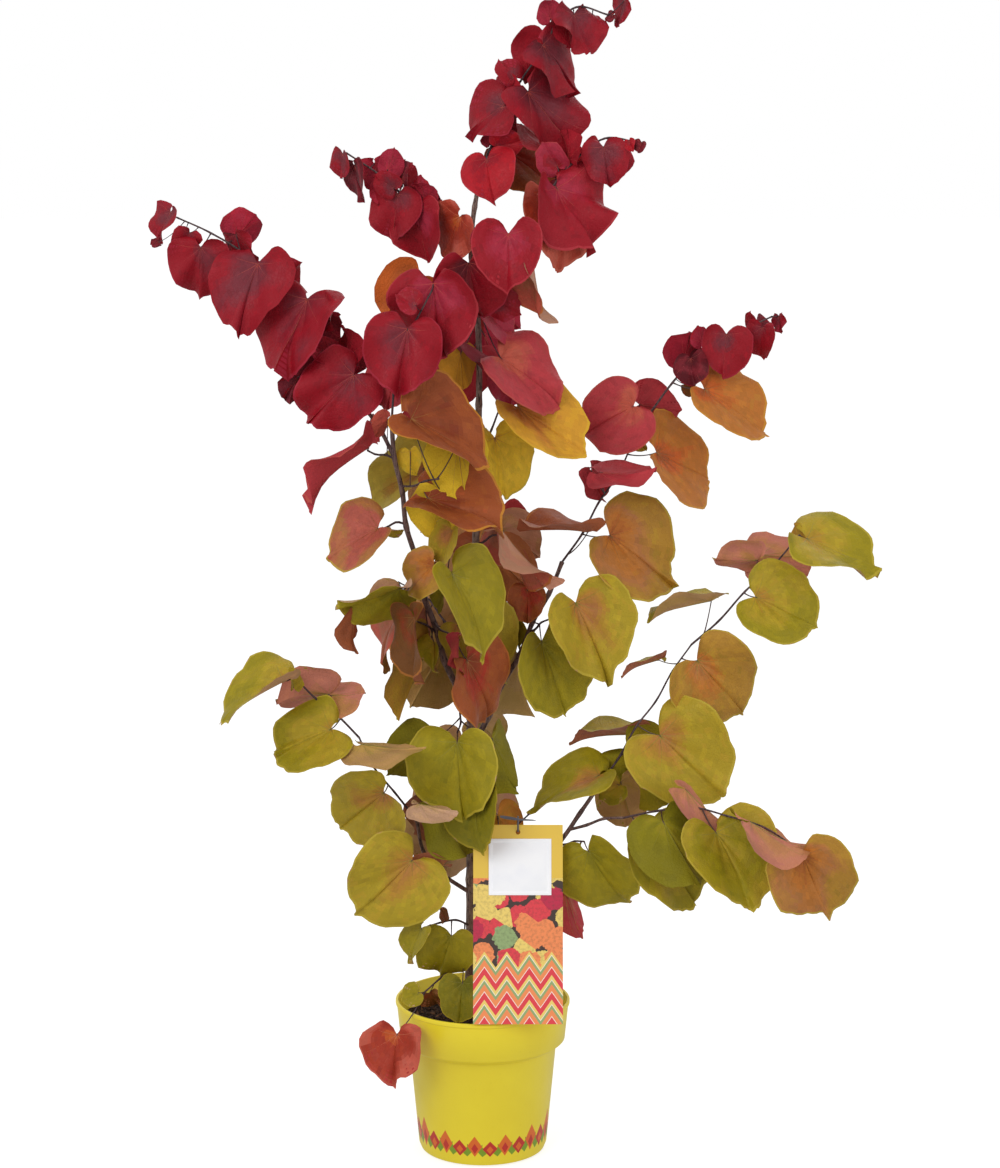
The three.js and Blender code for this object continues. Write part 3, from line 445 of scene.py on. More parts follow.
backTwigs = {
    "back_low": dict(on="trunk", at=0.21, tip=(-20, 190, 520), largest=92,
                     tints=("green", "olive", "oliveFlush", "green", "olive", "yellowGreen")),
    "back_left": dict(on="trunk", at=0.42, tip=(-110, 170, 700), largest=88,
                      tints=("olive", "oliveFlush", "oliveGold", "salmonOlive", "olive", "oliveFlush")),
    "back_right": dict(on="trunk", at=0.5, tip=(16, 220, 790), largest=84,
                       tints=("oliveGold", "orangeGold", "rust", "salmonOlive", "gold", "salmon")),
    "back_mid": dict(on="trunk", at=0.62, tip=(-70, 200, 930), largest=84,
                     tints=("gold", "orangeGold", "salmon", "rust", "redRust", "salmon")),
    "back_high": dict(on="trunk", at=0.76, tip=(-10, 150, 1100), largest=76,
                      tints=("pinkCrimson", "crimson", "redRust", "crimson", "dusky", "crimson")),
}

backRule = dict(seed=11, bow=(0, 0, 20), leaves=6, first=0.28, smallest=0.55, spread=38, stalk=0.3, turn=26)


def seeded(seed):  # a repeatable stream from 0 to 1
    times, plus, size = 1664525, 1013904223, 2 ** 32
    state = seed
    while True:
        state = (state * times + plus) % size
        yield state / size


def between(limits, share):
    return limits[0] + (limits[1] - limits[0]) * share


def arch(share):  # 0 at both ends and 1 in the middle
    return 4 * share * (1 - share)


def smoothLine(points, steps, samples=41):  # evenly spaced points of a centripetal spline
    pts = [np.array(p, float) for p in points]
    pts = [2 * pts[0] - pts[1]] + pts + [2 * pts[-1] - pts[-2]]
    fine = []
    for i in range(1, len(pts) - 2):
        a, b, c, d = pts[i - 1:i + 3]
        ta, tb, tc = (np.linalg.norm(q - p) ** 0.5 for p, q in ((a, b), (b, c), (c, d)))
        start = ((b - a) / ta - (c - a) / (ta + tb) + (c - b) / tb) * tb
        end = ((c - b) / tb - (d - b) / (tb + tc) + (d - c) / tc) * tb
        for t in np.linspace(0, 1, samples)[(1 if fine else 0):]:
            fine.append(b + start * t + (3 * (c - b) - 2 * start - end) * t * t
                        + (2 * (b - c) + start + end) * t ** 3)
    fine = np.array(fine)
    lengths = np.concatenate([[0], np.cumsum(np.linalg.norm(np.diff(fine, axis=0), axis=1))])
    wanted = np.linspace(0, lengths[-1], steps + 1)
    return [Vector([np.interp(w, lengths, fine[:, k]) for k in range(3)]) for w in wanted]


def limbLine(start, tip, bow):
    tip, bow = Vector(tip), Vector(bow)
    run = tip - start
    bends = max(limbStyle["fewestBends"], math.floor(run.length / limbStyle["nodeSpacing"] + 0.5))
    aside = Vector((0, 1, 0)).cross(run).normalized() * limbStyle["zigzag"]
    line = []
    for bend in range(bends + 1):
        share = bend / bends
        side = (1 if bend % 2 else -1) if 0 < bend < bends else 0
        line.append(start + run * share + bow * arch(share) + aside * side)
    return line


def pointAlong(line, share):
    lengths = [(b - a).length for a, b in zip(line, line[1:])]
    left = share * sum(lengths)
    for i, length in enumerate(lengths):
        if left <= length or i == len(lengths) - 1:
            return line[i].lerp(line[i + 1], left / length)
        left -= length


limbs = {}  # name: (line, radii)


def growTrunk():
    style = trunkStyle
    foot = Vector(style["foot"])
    line = smoothLine([style["foot"], *style["ways"]], style["rings"])
    line[1:1] = [foot.lerp(line[1], share) for share in style["footRings"]]
    line[1].x, line[1].y = foot.x, foot.y
    height = line[-1].z - foot.z
    radii = []
    for point in line:
        rise = point.z - foot.z
        flare = max(0, 1 - rise / style["flareHeight"]) ** 2
        radii.append(between((style["thick"], style["thin"]), rise / height)
                     + (style["flare"] - style["thick"]) * flare)
    limbs["trunk"] = (line, radii)


def growLimb(name, limb, thick, thin):
    line = limbLine(pointAlong(limbs[limb["on"]][0], limb["at"]), limb["tip"], limb["bow"])
    limbs[name] = (line, [between((thick, thin), i / (len(line) - 1)) for i in range(len(line))])


def backLeaves(twig, seed):
    chance = seeded(seed)
    rule = backRule
    rows = []
    for leaf in range(rule["leaves"]):
        share = leaf / (rule["leaves"] - 1)
        side = 1 if leaf % 2 else -1
        hang = 270 + side * rule["spread"] * (0.5 + next(chance))
        length = twig["largest"] * between((1, rule["smallest"]), share)
        turn = 180 + rule["turn"] * (2 * next(chance) - 1)
        rows.append((between((rule["first"], 1), share), hang, rule["stalk"] * length, hang, length, turn,
                     twig["tints"][leaf]))
    return rows


growTrunk()
for name, limb in boughs.items():
    growLimb("bough_" + name, limb, limb["thick"], limb["thin"])
masses = dict(foliage)
for i, (name, twig) in enumerate(backTwigs.items()):
    masses[name] = dict(twig, bow=backRule["bow"], leaves=backLeaves(twig, backRule["seed"] + i))
for name, mass in masses.items():
    growLimb("foliage_" + name, mass, limbStyle["twigThick"], limbStyle["twigThin"])
print("limbs grown:", len(limbs))


leafForm = dict(thickness=2, fold=(14, 30), curl=(0.04, 0.16), pitch=(-14, 14), rib=0.45, tip=1.04,
                half=[(-0.21, 0.3), (0.15, 0.62), (0.64, 0.45)], standOff=0.16, seedStep=101,
                stalkThick=1, stalkThin=0.5, stalkRoot=0.6, stalkHold=0.3, clearance=0.3)
roughSides = dict(trunk=10, bough=6, foliage=3, stalk=3)

# How far back a leaf may go and how it may lean, in the order in which they are tried for room.
shifts, leans = (0, -8, 8, -16, 16, -26, 26, -38, 38, -52, 52, -70, 70), (0, 20, -20)

# Leaves that lie another way than the first roomy one: how far back they go, how they lean, and their turn.
settled = {("left_inner", 2): (60, 0, 165), ("low_twig", 0): (-14, 0, 6), ("low_twig", 3): (-46, 0, 20),
           ("right_side", 5): (-52, 0, 94), ("left_low_outer", 3): (-16, 0, 80),
           ("left_drop", 0): (0, 0, -58)}

# Leaves hung again once all have their room, so that their bough shows: the changed row, shift and lean.
rehung = {("left_gold", 2): ((0.5, 60, 13, 208, 84, 46, "goldRose"), 84, 16),
          ("centre_mid", 0): ((0.2, 350, 26, 308, 98, -40, "mauveOlive"), 40, 0)}

# Finer growth: small leaves between the big ones on the crimson sprays, where there is room.
youngStyle = dict(masses=("crown", "upper_left", "leader", "leader_tip", "upper_right", "left_spray_inner",
                          "left_spray_outer", "left_inner", "right_mid_outer"),
                  seed=70, leafSeed=5000, seedStep=50, size=(24, 46), atTips=0.75, stalk=0.35, each=2,
                  leastGap=0.04, lone=0.5, first=0.05, stray=0.03, aims=(90, 270), aim=60, hang=25,
                  turns=(20, -30, 160, 200), shifts=(0, 8, 16, 26, -10, 38), clearance=0.2,
                  tints=("crimson", "bright", "magenta", "crimson", "dusky"))


class Leaf:
    def __init__(self, owner, row, seed, shift, lean):
        along, aim, reach, hang, length, turn, tint = row
        chance = seeded(seed)
        self.fold = math.radians(between(leafForm["fold"], next(chance)))
        self.curl = between(leafForm["curl"], next(chance)) * length
        pitch = math.radians(between(leafForm["pitch"], next(chance)) + lean)
        rise, heading, roll = math.radians(aim), math.radians(hang), math.radians(turn)
        self.owner, self.length, self.seed, self.tint = owner, length, seed, tint
        self.node = pointAlong(limbs[owner][0], along)
        self.base = self.node + Vector((reach * math.cos(rise),
                                        -math.cos(roll) * leafForm["standOff"] * length + shift,
                                        reach * math.sin(rise)))
        self.along = Vector((math.cos(heading) * math.cos(pitch), math.sin(pitch),
                             math.sin(heading) * math.cos(pitch)))
        front = Vector((0, -1, 0))
        front = (front - self.along * front.dot(self.along)).normalized()
        self.up = Matrix.Rotation(roll, 3, self.along) @ front
        self.across = self.up.cross(self.along)

    def point(self, u, v, height=0.0):
        rise = abs(v) * self.length * math.sin(self.fold) - self.curl * u * u + height
        return (self.base + self.along * (u * self.length)
                + self.across * (v * self.length * math.cos(self.fold)) + self.up * rise)

    def shapes(self, spare=0):  # its blade and its stalk as the solids have them, grown by some spare
        form = leafForm
        outline = [(0, 0), *form["half"], (form["tip"], 0), *[(u, -v) for u, v in reversed(form["half"])]]
        points, faces = [], []
        for side in (1, -1):
            points += [self.point(u, v, side * spare) for u, v in outline]
            points.append(self.point(form["rib"], 0, side * (form["thickness"] / 2 + spare)))
        rim = len(outline)
        below = rim + 1
        for i in range(rim):
            j = (i + 1) % rim
            faces += [(rim, j, i), (below + rim, below + i, below + j)]
            faces += [(i, j, below + j), (i, below + j, below + i)]
        hold = self.point(form["stalkHold"], 0)
        root = self.node - (hold - self.node).normalized() * form["stalkRoot"]
        stalk = roughTube([root, hold], [form["stalkThick"] + spare, form["stalkThin"] + spare],
                          roughSides["stalk"])
        return Shape(self.owner, points, faces), Shape(self.owner, *stalk)


class Shape:
    def __init__(self, owner, points, faces):
        self.owner, self.tree = owner, BVHTree.FromPolygons(points, faces)
        self.low = [min(p[k] for p in points) for k in range(3)]
        self.high = [max(p[k] for p in points) for k in range(3)]

    def meets(self, other):
        if any(self.low[k] > other.high[k] or other.low[k] > self.high[k] for k in range(3)):
            return False
        return bool(self.tree.overlap(other.tree))


def ringAxes(along):
    across = Vector((0, 1, 0)).cross(along)
    if across.length < 0.2:  # nearly along the y axis
        across = Vector((1, 0, 0)).cross(along)
    across.normalize()
    return across, along.cross(across)


def wayAt(line, i):
    return (line[min(i + 1, len(line) - 1)] - line[max(i - 1, 0)]).normalized()


def roughTube(line, radii, sides):
    points, faces = [], []
    for i, point in enumerate(line):
        across, upright = ringAxes(wayAt(line, i))
        for side in range(sides):
            turn = 2 * math.pi * side / sides
            points.append(point + across * (radii[i] * math.cos(turn))
                          + upright * (radii[i] * math.sin(turn)))
    for ring in range(len(line) - 1):
        for side in range(sides):
            j = (side + 1) % sides
            a, b = ring * sides, (ring + 1) * sides
            faces += [(a + side, a + j, b + j), (a + side, b + j, b + side)]
    return points, faces


taken = []
for node in ("pot", "soil", "card", "card_tie"):
    mesh = frame["nodes"][node].data
    taken.append(Shape(node, [v.co / mm for v in mesh.vertices], [tuple(p.vertices) for p in mesh.polygons]))
for name, (line, radii) in limbs.items():
    taken.append(Shape(name, *roughTube(line, radii, roughSides[name.partition("_")[0]])))


def isClear(blade, stalk):  # of all but its own mass's other stalks and twig
    return not any(shape.meets(blade) or (shape.owner != stalk.owner and shape.meets(stalk))
                   for shape in taken)


def findRoom(owner, row, seed, own):  # the first place clear of all, or else of all but its own mass
    twig = next(shape for shape in taken if shape.owner == owner)
    second = None
    for shift in shifts:
        for lean in leans:
            leaf = Leaf(owner, row, seed, shift, lean)
            blade, stalk = leaf.shapes(leafForm["clearance"])
            if any(s.owner != owner and (s.meets(blade) or s.meets(stalk)) for s in taken):
                continue
            if not any(s.meets(blade) or s.meets(stalk) for s in own) and not twig.meets(blade):
                return leaf
            second = second or leaf
    return second


leaves = {}  # foliage node: its leaves by row
for massIndex, (name, mass) in enumerate(masses.items()):
    owner = "foliage_" + name
    leaves[owner], own = {}, []
    for rowIndex, row in enumerate(mass["leaves"]):
        seed = leafForm["seedStep"] * (massIndex + 1) + rowIndex
        leaf = findRoom(owner, row, seed, own)
        if (name, rowIndex) in settled:
            shift, lean, turn = settled[name, rowIndex]
            leaf = Leaf(owner, row[:5] + (turn,) + row[6:], seed, shift, lean)
        if leaf:
            leaves[owner][rowIndex] = leaf
            leaf.room = leaf.shapes()
            own += leaf.room
            taken += leaf.room

for (name, rowIndex), (row, shift, lean) in rehung.items():
    group = leaves["foliage_" + name]
    old = group[rowIndex]
    group[rowIndex] = Leaf(old.owner, row, old.seed, shift, lean)
    taken = [shape for shape in taken if shape not in old.room]
    room = group[rowIndex].shapes()
    print("hung again:", name, "clear" if isClear(*room) else "touches")
    taken += room
print("leaves placed:", sum(len(group) for group in leaves.values()))

for massIndex, name in enumerate(youngStyle["masses"]):
    style = youngStyle
    owner = "foliage_" + name
    chance = random.Random(style["seed"] + massIndex)
    rows = sorted(row[0] for row in masses[name]["leaves"])
    gaps = [(a + b) / 2 for a, b in zip(rows, rows[1:]) if b - a > style["leastGap"]] or [style["lone"]]
    low, high = (Vector(corner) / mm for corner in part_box(owner))
    for k, share in enumerate(gaps * style["each"]):
        size = chance.uniform(*style["size"]) * (style["atTips"] if "tip" in name else 1)
        aim = chance.choice(style["aims"]) + chance.uniform(-style["aim"], style["aim"])
        share += chance.uniform(-style["stray"], style["stray"])
        hang = aim + chance.uniform(-style["hang"], style["hang"])
        row = (min(max(share, style["first"]), 1), aim, style["stalk"] * size, hang, size,
               chance.choice(style["turns"]), chance.choice(style["tints"]))
        for shift in style["shifts"]:
            leaf = Leaf(owner, row, style["leafSeed"] + style["seedStep"] * massIndex + k, shift, 0)
            blade, stalk = leaf.shapes(style["clearance"])
            inside = all(blade.low[i] >= low[i] and blade.high[i] <= high[i] for i in range(3))
            if inside and isClear(blade, stalk):
                leaves[owner]["young", k] = leaf
                taken.append(leaf.shapes()[0])
                break
print("with young ones:", sum(len(group) for group in leaves.values()))


barkStyle = dict(spacing=5, fewest=4, nodeSwell=0.22, nodeWidth=5,
                 reliefAround=2.2, reliefAlong=0.05, reliefStep=7.3,
                 roughness=0.6, octaveSpacing=2.0, octaves=3)


def fineTube(way, radii, sides, relief=0, seed=0):  # a closed tube, its rings carried on without a twist
    bark, across = barkStyle, None
    points, faces = [], []
    for i, point in enumerate(way):
        along = wayAt(way, i)
        across = across or ringAxes(along)[0]
        across = (across - along * across.dot(along)).normalized()
        upright = along.cross(across)
        for side in range(sides):
            turn = 2 * math.pi * side / sides
            radius = radii[i]
            if relief:
                spot = Vector((math.cos(turn) * bark["reliefAround"],
                               math.sin(turn) * bark["reliefAround"] + seed,
                               point.z * bark["reliefAlong"]))
                rough = noise.fractal(spot, bark["roughness"], bark["octaveSpacing"], bark["octaves"])
                radius *= 1 + relief * rough
            points.append(point + (across * math.cos(turn) + upright * math.sin(turn)) * radius)
    last = (len(way) - 1) * sides
    for ring in range(0, last, sides):
        for side in range(sides):
            j = (side + 1) % sides
            faces.append((ring + side, ring + j, ring + sides + j, ring + sides + side))
    faces += [tuple(range(sides - 1, -1, -1)), tuple(range(last, last + sides))]
    return points, faces


wearEffect("trunkBark", barkSkin, relief=0.0004, Main=(122, 98, 88), Pale=(166, 146, 132), Dark=(68, 52, 48))
wearEffect("boughBark", barkSkin, relief=0.0003, Main=(104, 78, 74), Pale=(146, 120, 110), Dark=(56, 40, 42))
wearEffect("twigBark", barkSkin, relief=0.0002, Main=(66, 44, 48), Pale=(108, 82, 80), Dark=(36, 22, 26))
wearEffect("stalkRed", stalkSkin, relief=0.0002, Main=(72, 36, 44), Patch=(46, 26, 34))
wearEffect("stalkBrown", stalkSkin, relief=0.0002, Main=(84, 54, 46), Patch=(54, 38, 38))

woodKinds = {
    "trunk_bark": dict(finish="trunkBark", slot="bark", sides=20, relief=0.09, slim=1, firstKnuckle=5),
    "bough_bark": dict(finish="boughBark", slot="bark", sides=14, relief=0.06, slim=1, firstKnuckle=1),
    "twig_bark": dict(finish="twigBark", slot="foliage", sides=8, relief=0.06, slim=0.72, firstKnuckle=1),
}


def woodFaces(line, radii, kind, seed):  # a smooth way through a limb's bends, with a knuckle at each
    count = round(sum((b - a).length for a, b in zip(line, line[1:])) / barkStyle["spacing"])
    count = max(barkStyle["fewest"], count)
    way = smoothLine(line, count)
    wide = np.interp(np.linspace(0, 1, count + 1), np.linspace(0, 1, len(radii)), radii) * kind["slim"]
    for i, point in enumerate(way):
        near = min((point - bend).length for bend in line[kind["firstKnuckle"]:])
        wide[i] *= 1 + barkStyle["nodeSwell"] * math.exp(-(near / barkStyle["nodeWidth"]) ** 2)
    return fineTube(way, wide, kind["sides"], kind["relief"], seed)


wood = {title: (Heap(), []) for title in woodKinds}
for i, (name, (line, radii)) in enumerate(limbs.items()):
    title = "trunk_bark" if i == 0 else "bough_bark" if name.startswith("bough_") else "twig_bark"
    kind = woodKinds[title]
    points, faces = woodFaces(line, radii, kind, i * barkStyle["reliefStep"])
    if i == 0:  # the trunk's foot is level
        for point in points[:kind["sides"]]:
            point.z = line[0].z
    heap, nodes = wood[title]
    heap.add(points, faces, kind["finish"])
    nodes.append(name)
for title, (heap, nodes) in wood.items():
    heap.makePiece(title, woodKinds[title]["slot"], *nodes, smoothAngle=50)
print("wood made")


palette = {
    "darkWine": (90, 12, 24), "crimson": (146, 14, 30), "brightCrimson": (172, 18, 32),
    # The dusky colour is partly the leaves' own darker red and partly a painted sheen: a greyer crimson in
    # place of reflected light.
    "duskyCrimson": (130, 30, 42), "dusky": (114, 40, 50), "magenta": (162, 40, 60),
    "pinkRed": (176, 56, 62), "salmon": (188, 86, 68), "redBrown": (160, 50, 32), "rust": (152, 76, 36),
    "darkRust": (128, 56, 26), "brown": (112, 68, 28), "rose": (176, 88, 72), "goldBrown": (184, 114, 44),
    "gold": (204, 146, 42), "yellow": (208, 172, 38), "paleOlive": (188, 166, 58), "olive": (170, 146, 36),
    "warmOlive": (172, 128, 44), "green": (150, 134, 20), "midGreen": (128, 118, 18),
    "darkGreen": (106, 102, 16), "mauve": (190, 140, 116), "pink": (190, 118, 98),
    "paleMauve": (196, 154, 124), "pinkBrown": (172, 102, 74), "orange": (192, 94, 36),
    "flush": (172, 112, 62),
}

# Four shades of the upper face, from the stalk out, then the margin and the underside.
tints = {
    "crimson": ("dusky", "duskyCrimson", "crimson", "crimson", "magenta", "magenta"),
    "bright": ("duskyCrimson", "crimson", "brightCrimson", "brightCrimson", "pinkRed", "magenta"),
    # The dusky tint carries a painted sheen over the leaf's own darker red.
    "dusky": ("dusky", "dusky", "duskyCrimson", "crimson", "crimson", "magenta"),
    "wine": ("darkWine", "darkWine", "duskyCrimson", "darkWine", "crimson", "duskyCrimson"),
    "magenta": ("duskyCrimson", "crimson", "magenta", "magenta", "pinkRed", "magenta"),
    "pinkCrimson": ("magenta", "magenta", "crimson", "crimson", "pinkRed", "pinkRed"),
    "salmon": ("salmon", "salmon", "pinkRed", "pinkRed", "salmon", "pinkRed"),
    "salmonOlive": ("salmon", "pinkBrown", "warmOlive", "olive", "paleOlive", "mauve"),
    "roseOlive": ("rose", "rose", "rose", "flush", "paleOlive", "mauve"),
    "copper": ("rust", "goldBrown", "flush", "warmOlive", "paleOlive", "mauve"),
    "goldRose": ("pinkBrown", "warmOlive", "paleOlive", "paleOlive", "paleOlive", "mauve"),
    "pinkRust": ("redBrown", "pinkBrown", "pinkBrown", "salmon", "goldBrown", "mauve"),
    "redRust": ("orange", "redBrown", "redBrown", "salmon", "salmon", "pinkRed"),
    "rust": ("darkRust", "redBrown", "rust", "rust", "goldBrown", "pinkBrown"),
    "brown": ("brown", "darkRust", "brown", "brown", "goldBrown", "pinkBrown"),
    "brownGold": ("darkRust", "darkRust", "rust", "rust", "gold", "pinkBrown"),
    "orangeGold": ("rust", "orange", "goldBrown", "goldBrown", "gold", "pinkBrown"),
    "gold": ("goldBrown", "goldBrown", "gold", "gold", "yellow", "mauve"),
    "yellow": ("gold", "yellow", "yellow", "yellow", "paleOlive", "paleOlive"),
    "oliveGold": ("flush", "goldBrown", "warmOlive", "warmOlive", "paleOlive", "mauve"),
    "oliveFlush": ("flush", "warmOlive", "olive", "olive", "paleOlive", "mauve"),
    "olive": ("warmOlive", "olive", "olive", "green", "paleOlive", "mauve"),
    "mauveOlive": ("pinkBrown", "warmOlive", "olive", "olive", "paleOlive", "mauve"),
    "yellowGreen": ("olive", "olive", "green", "olive", "paleOlive", "paleMauve"),
    "green": ("midGreen", "green", "green", "green", "paleOlive", "paleMauve"),
    "greenPink": ("flush", "warmOlive", "green", "green", "paleOlive", "mauve"),
    "darkGreen": ("darkGreen", "darkGreen", "midGreen", "midGreen", "olive", "mauve"),
}

# How crumpled the leaves of a tint are, where more than plain.
livelyTints = {"crimson": 1.9, "bright": 1.6, "dusky": 1.8, "wine": 1.9, "magenta": 1.7, "pinkCrimson": 2.1,
               "salmon": 1.5, "rust": 1.4, "redRust": 1.3, "pinkRust": 1.5, "brown": 1.5}

# A leaf's veins are red or gold by the third shade of its tint. They are pale on a redRust leaf and
# green on all others.
veinColours = {"red": (188, 78, 66), "gold": (160, 106, 52), "green": (150, 140, 50), "pale": (216, 128, 92)}
redShades = {"crimson", "brightCrimson", "duskyCrimson", "magenta", "pinkRed", "redBrown"}
goldShades = {"gold", "yellow", "goldBrown", "paleOlive", "rust", "brown", "pinkBrown", "rose", "flush"}
for name, colour in veinColours.items():
    wearEffect("vein_" + name, stalkSkin, relief=0.0001, Main=colour, Patch=tuple(0.8 * c for c in colour))

# Each face of a leaf wears one plain colour. Colours closer than this step, of 255, share a finish.
colourStep = 6.0
leafShades = {"upper": np.empty((0, 3)), "under": np.empty((0, 3))}
leafLook = {"upper": dict(Shine=0.45, Net=0.5, relief=0.0004),
            "under": dict(Shine=0.62, Net=0.9, relief=0.0003)}
leafShine = 0.22

colourRule = dict(
    steps=3, most=0.999, first=0.06, reach=1.1,
    flushSide=0.24, rib=0.12, ribWidth=0.035, margin=0.65, jitter=0.02,
    # clouds over the leaf, each with its scale
    scale=2.4, cloud=0.5, fineScale=2.6, fineCloud=0.12, mottleScale=4, mottle=0.08,
    # how much of the upper face's tint the underside takes, and where
    through=0.45, throughStalk=0.14, throughScale=0.7, throughCloud=0.5, throughMost=0.5,
    underScale=(3, 4), underMottle=0.12,
)

bladeStyle = dict(
    # least leaf length, rings of faces and columns in each half
    grids=((75, 16, 26), (38, 11, 17), (0, 7, 10)), spacing=0.9, margin=0.965,
    # half outline from the tip round to the notch, in leaf lengths
    half=[(1.02, 0), (0.965, 0.055), (0.9, 0.18), (0.8, 0.35), (0.64, 0.505), (0.41, 0.6), (0.17, 0.625),
          (-0.05, 0.56), (-0.18, 0.41), (-0.205, 0.23), (-0.12, 0.09)],
    # places of the veins round the outline, and their lengths
    veins=((0, 1), (0.24, 0.94), (0.48, 0.9), (0.72, 0.82)), puff=0.0168, puffWidth=0.055, phase=(0, 6.28),
    tipFrom=0.8, tipBend=0.1, tipBendLength=0.25, tipLength=(0.66, 1.05), tipDrop=0.1, tipSpread=(-0.8, 1.7),
    tipDropFrom=0.6, tipDropLength=0.45, lobe=(0.92, 1.07), uneven=0.03, unevenWave=4.3,
    # how often, how strong and from which phase
    ragged=(0.007, 0.026), raggedWaves=((12, 1, 2), (27, 0.7, 5), (47, 0.4, 3)),
    # how close to the margin each unevenness keeps
    waveKeeps=3, scallopKeeps=6, crimpKeeps=8,
    waves=(1.6, 2.2, 2.8, 3.4), waveTurn=1.6, wave=0.05, waveSpread=(0.5, 1.9), scallop=0.012, scallops=26,
    crimp=0.011, crimps=26, crumple=0.05, crumples=(6, 5), ripple=0.014, ripples=5,
    twist=0.24, twistShare=0.6, softFold=0.045, foldDepth=1.15, bow=(0.1, 0.75), thickness=0.004,
)


def outlineAt(share):  # 0 at the tip, 1 at the notch, as a smooth curve
    half = bladeStyle["half"]
    place = min(max(share, 0), 1) * (len(half) - 1)
    i = min(int(place), len(half) - 2)
    t = place - i
    a, b, c, d = (Vector(half[min(max(k, 0), len(half) - 1)]) for k in (i - 1, i, i + 1, i + 2))
    if i == 0:
        a = Vector((half[1][0], -half[1][1]))
    return 0.5 * (2 * b + (c - a) * t + (2 * a - 5 * b + 4 * c - d) * t ** 2
                  + (3 * b - a - 3 * c + d) * t ** 3)


def fromVein(turn):
    return min(abs(abs(turn) - place) for place, _ in bladeStyle["veins"])


class Blade:
    def __init__(self, leaf):
        style, chance = bladeStyle, random.Random(leaf.seed)
        tintName, _, under = leaf.tint.partition("/")
        self.leaf, self.tint, self.lively = leaf, tints[tintName], livelyTints.get(tintName, 1)
        self.shades = [np.array(palette[name], float) for name in self.tint]
        self.under = np.array(palette[under or self.tint[5]], float)
        self.plain = under in ("", self.tint[5])
        self.isRed = self.tint[2] in redShades
        veinName = "red" if self.isRed else "gold" if self.tint[2] in goldShades else "green"
        self.veins = "vein_" + ("pale" if tintName == "redRust" else veinName)
        self.phase = [chance.uniform(*style["phase"]) for _ in range(6)]
        self.waves = [chance.choice(style["waves"]) for _ in range(2)]
        self.amount = style["wave"] * chance.uniform(*style["waveSpread"]) * self.lively
        self.bow = chance.uniform(*style["bow"]) * self.lively
        self.tip = style["tipDrop"] * chance.uniform(*style["tipSpread"])
        self.twist = chance.uniform(-style["twist"], style["twist"])
        self.lobe = [chance.uniform(*style["lobe"]) for _ in range(2)]
        self.tipBend = chance.uniform(-style["tipBend"], style["tipBend"])
        self.tipLength = chance.uniform(*style["tipLength"])
        self.ragged = chance.uniform(*style["ragged"])
        self.flushSide = chance.uniform(*style["phase"])
        # out or in from the front of the list, up or down from its end
        self.crimps = [chance.uniform(-1, 1) for _ in range(4 * style["crimps"] + 2)]

    def flat(self, reach, turn):  # turn runs from -1 to 1 round the outline, 0 at the tip
        style = bladeStyle
        edge = outlineAt(abs(turn))
        u, v = edge.x, math.copysign(edge.y, turn) * self.lobe[turn > 0]
        past = u - style["tipFrom"]
        if past > 0:
            u = style["tipFrom"] + past * self.tipLength
            v += self.tipBend * ((u - style["tipFrom"]) / style["tipBendLength"]) ** 1.5
        waves = sum(share * math.sin(often * turn + self.phase[i])
                    for often, share, i in style["raggedWaves"])
        uneven = style["uneven"] * math.sin(style["unevenWave"] * turn + self.phase[4]) + self.ragged * waves
        crimp = self.crimps[round((turn + 1) * style["crimps"])]
        uneven += style["crimp"] * reach ** style["crimpKeeps"] * crimp
        return reach * u * (1 + uneven), reach * v * (1 + uneven)

    def point(self, reach, turn, side=0):
        if reach == 0:
            return self.leaf.base.copy()
        style, leaf, phase = bladeStyle, self.leaf, self.phase
        u, v = self.flat(reach, turn)
        soft = style["softFold"]
        fold = math.hypot(v, soft) - soft - self.bow * v * v
        waves = math.sin(self.waves[turn > 0] * math.pi * style["waveTurn"] * abs(turn) + phase[turn > 0])
        crimp = self.crimps[-1 - round((turn + 1) * style["crimps"])]
        rise = fold * math.sin(leaf.fold) * style["foldDepth"]
        rise += self.amount * reach ** style["waveKeeps"] * waves
        scallop = math.sin(style["scallops"] * turn + phase[5])
        rise += style["scallop"] * reach ** style["scallopKeeps"] * scallop
        rise += style["crimp"] * reach ** style["crimpKeeps"] * crimp
        crumple = (math.sin(style["crumples"][0] * u + phase[2])
                   * math.sin(style["crumples"][1] * v + phase[4]))
        rise += style["crumple"] * (self.lively - 1) * reach * crumple
        rise += style["ripple"] * reach * math.sin(style["ripples"] * u + phase[3])
        rise += self.twist * u * v * style["twistShare"]
        rise -= self.tip * max(0, (u - style["tipDropFrom"]) / style["tipDropLength"]) ** 2
        puffed = 1 - math.exp(-(fromVein(turn) / style["puffWidth"]) ** 2)
        rise += style["puff"] * puffed * math.sin(math.pi * min(reach, 1))
        rise += side * style["thickness"] / 2
        height = rise * leaf.length - leaf.curl * u * u
        across = v * leaf.length * math.cos(leaf.fold)
        return leaf.base + leaf.along * (u * leaf.length) + leaf.across * across + leaf.up * height

    def upperColour(self, reach, turn, chance):  # how the autumn colour spreads over one leaf
        rule, shades = colourRule, self.shades
        if reach > bladeStyle["margin"]:
            return between((shades[3], shades[4]), rule["margin"])
        u, v = self.flat(reach, turn)
        spot = Vector((u * rule["scale"] + self.leaf.seed, v * rule["scale"], 0))
        level = reach * rule["reach"] + rule["first"]
        level += noise.noise(spot) * rule["cloud"] + noise.noise(spot * rule["fineScale"]) * rule["fineCloud"]
        level += rule["flushSide"] * reach * math.cos(3.14 * turn - self.flushSide)
        level -= rule["rib"] * math.exp(-(fromVein(turn) / rule["ribWidth"]) ** 2) * (1 - reach)
        level = min(max(level, 0), rule["most"]) * rule["steps"]
        step = int(level)
        uneven = chance.uniform(-rule["jitter"], rule["jitter"])
        uneven += rule["mottle"] * noise.noise(spot * rule["mottleScale"])
        return between(shades[step:step + 2], level - step) * (1 + uneven)

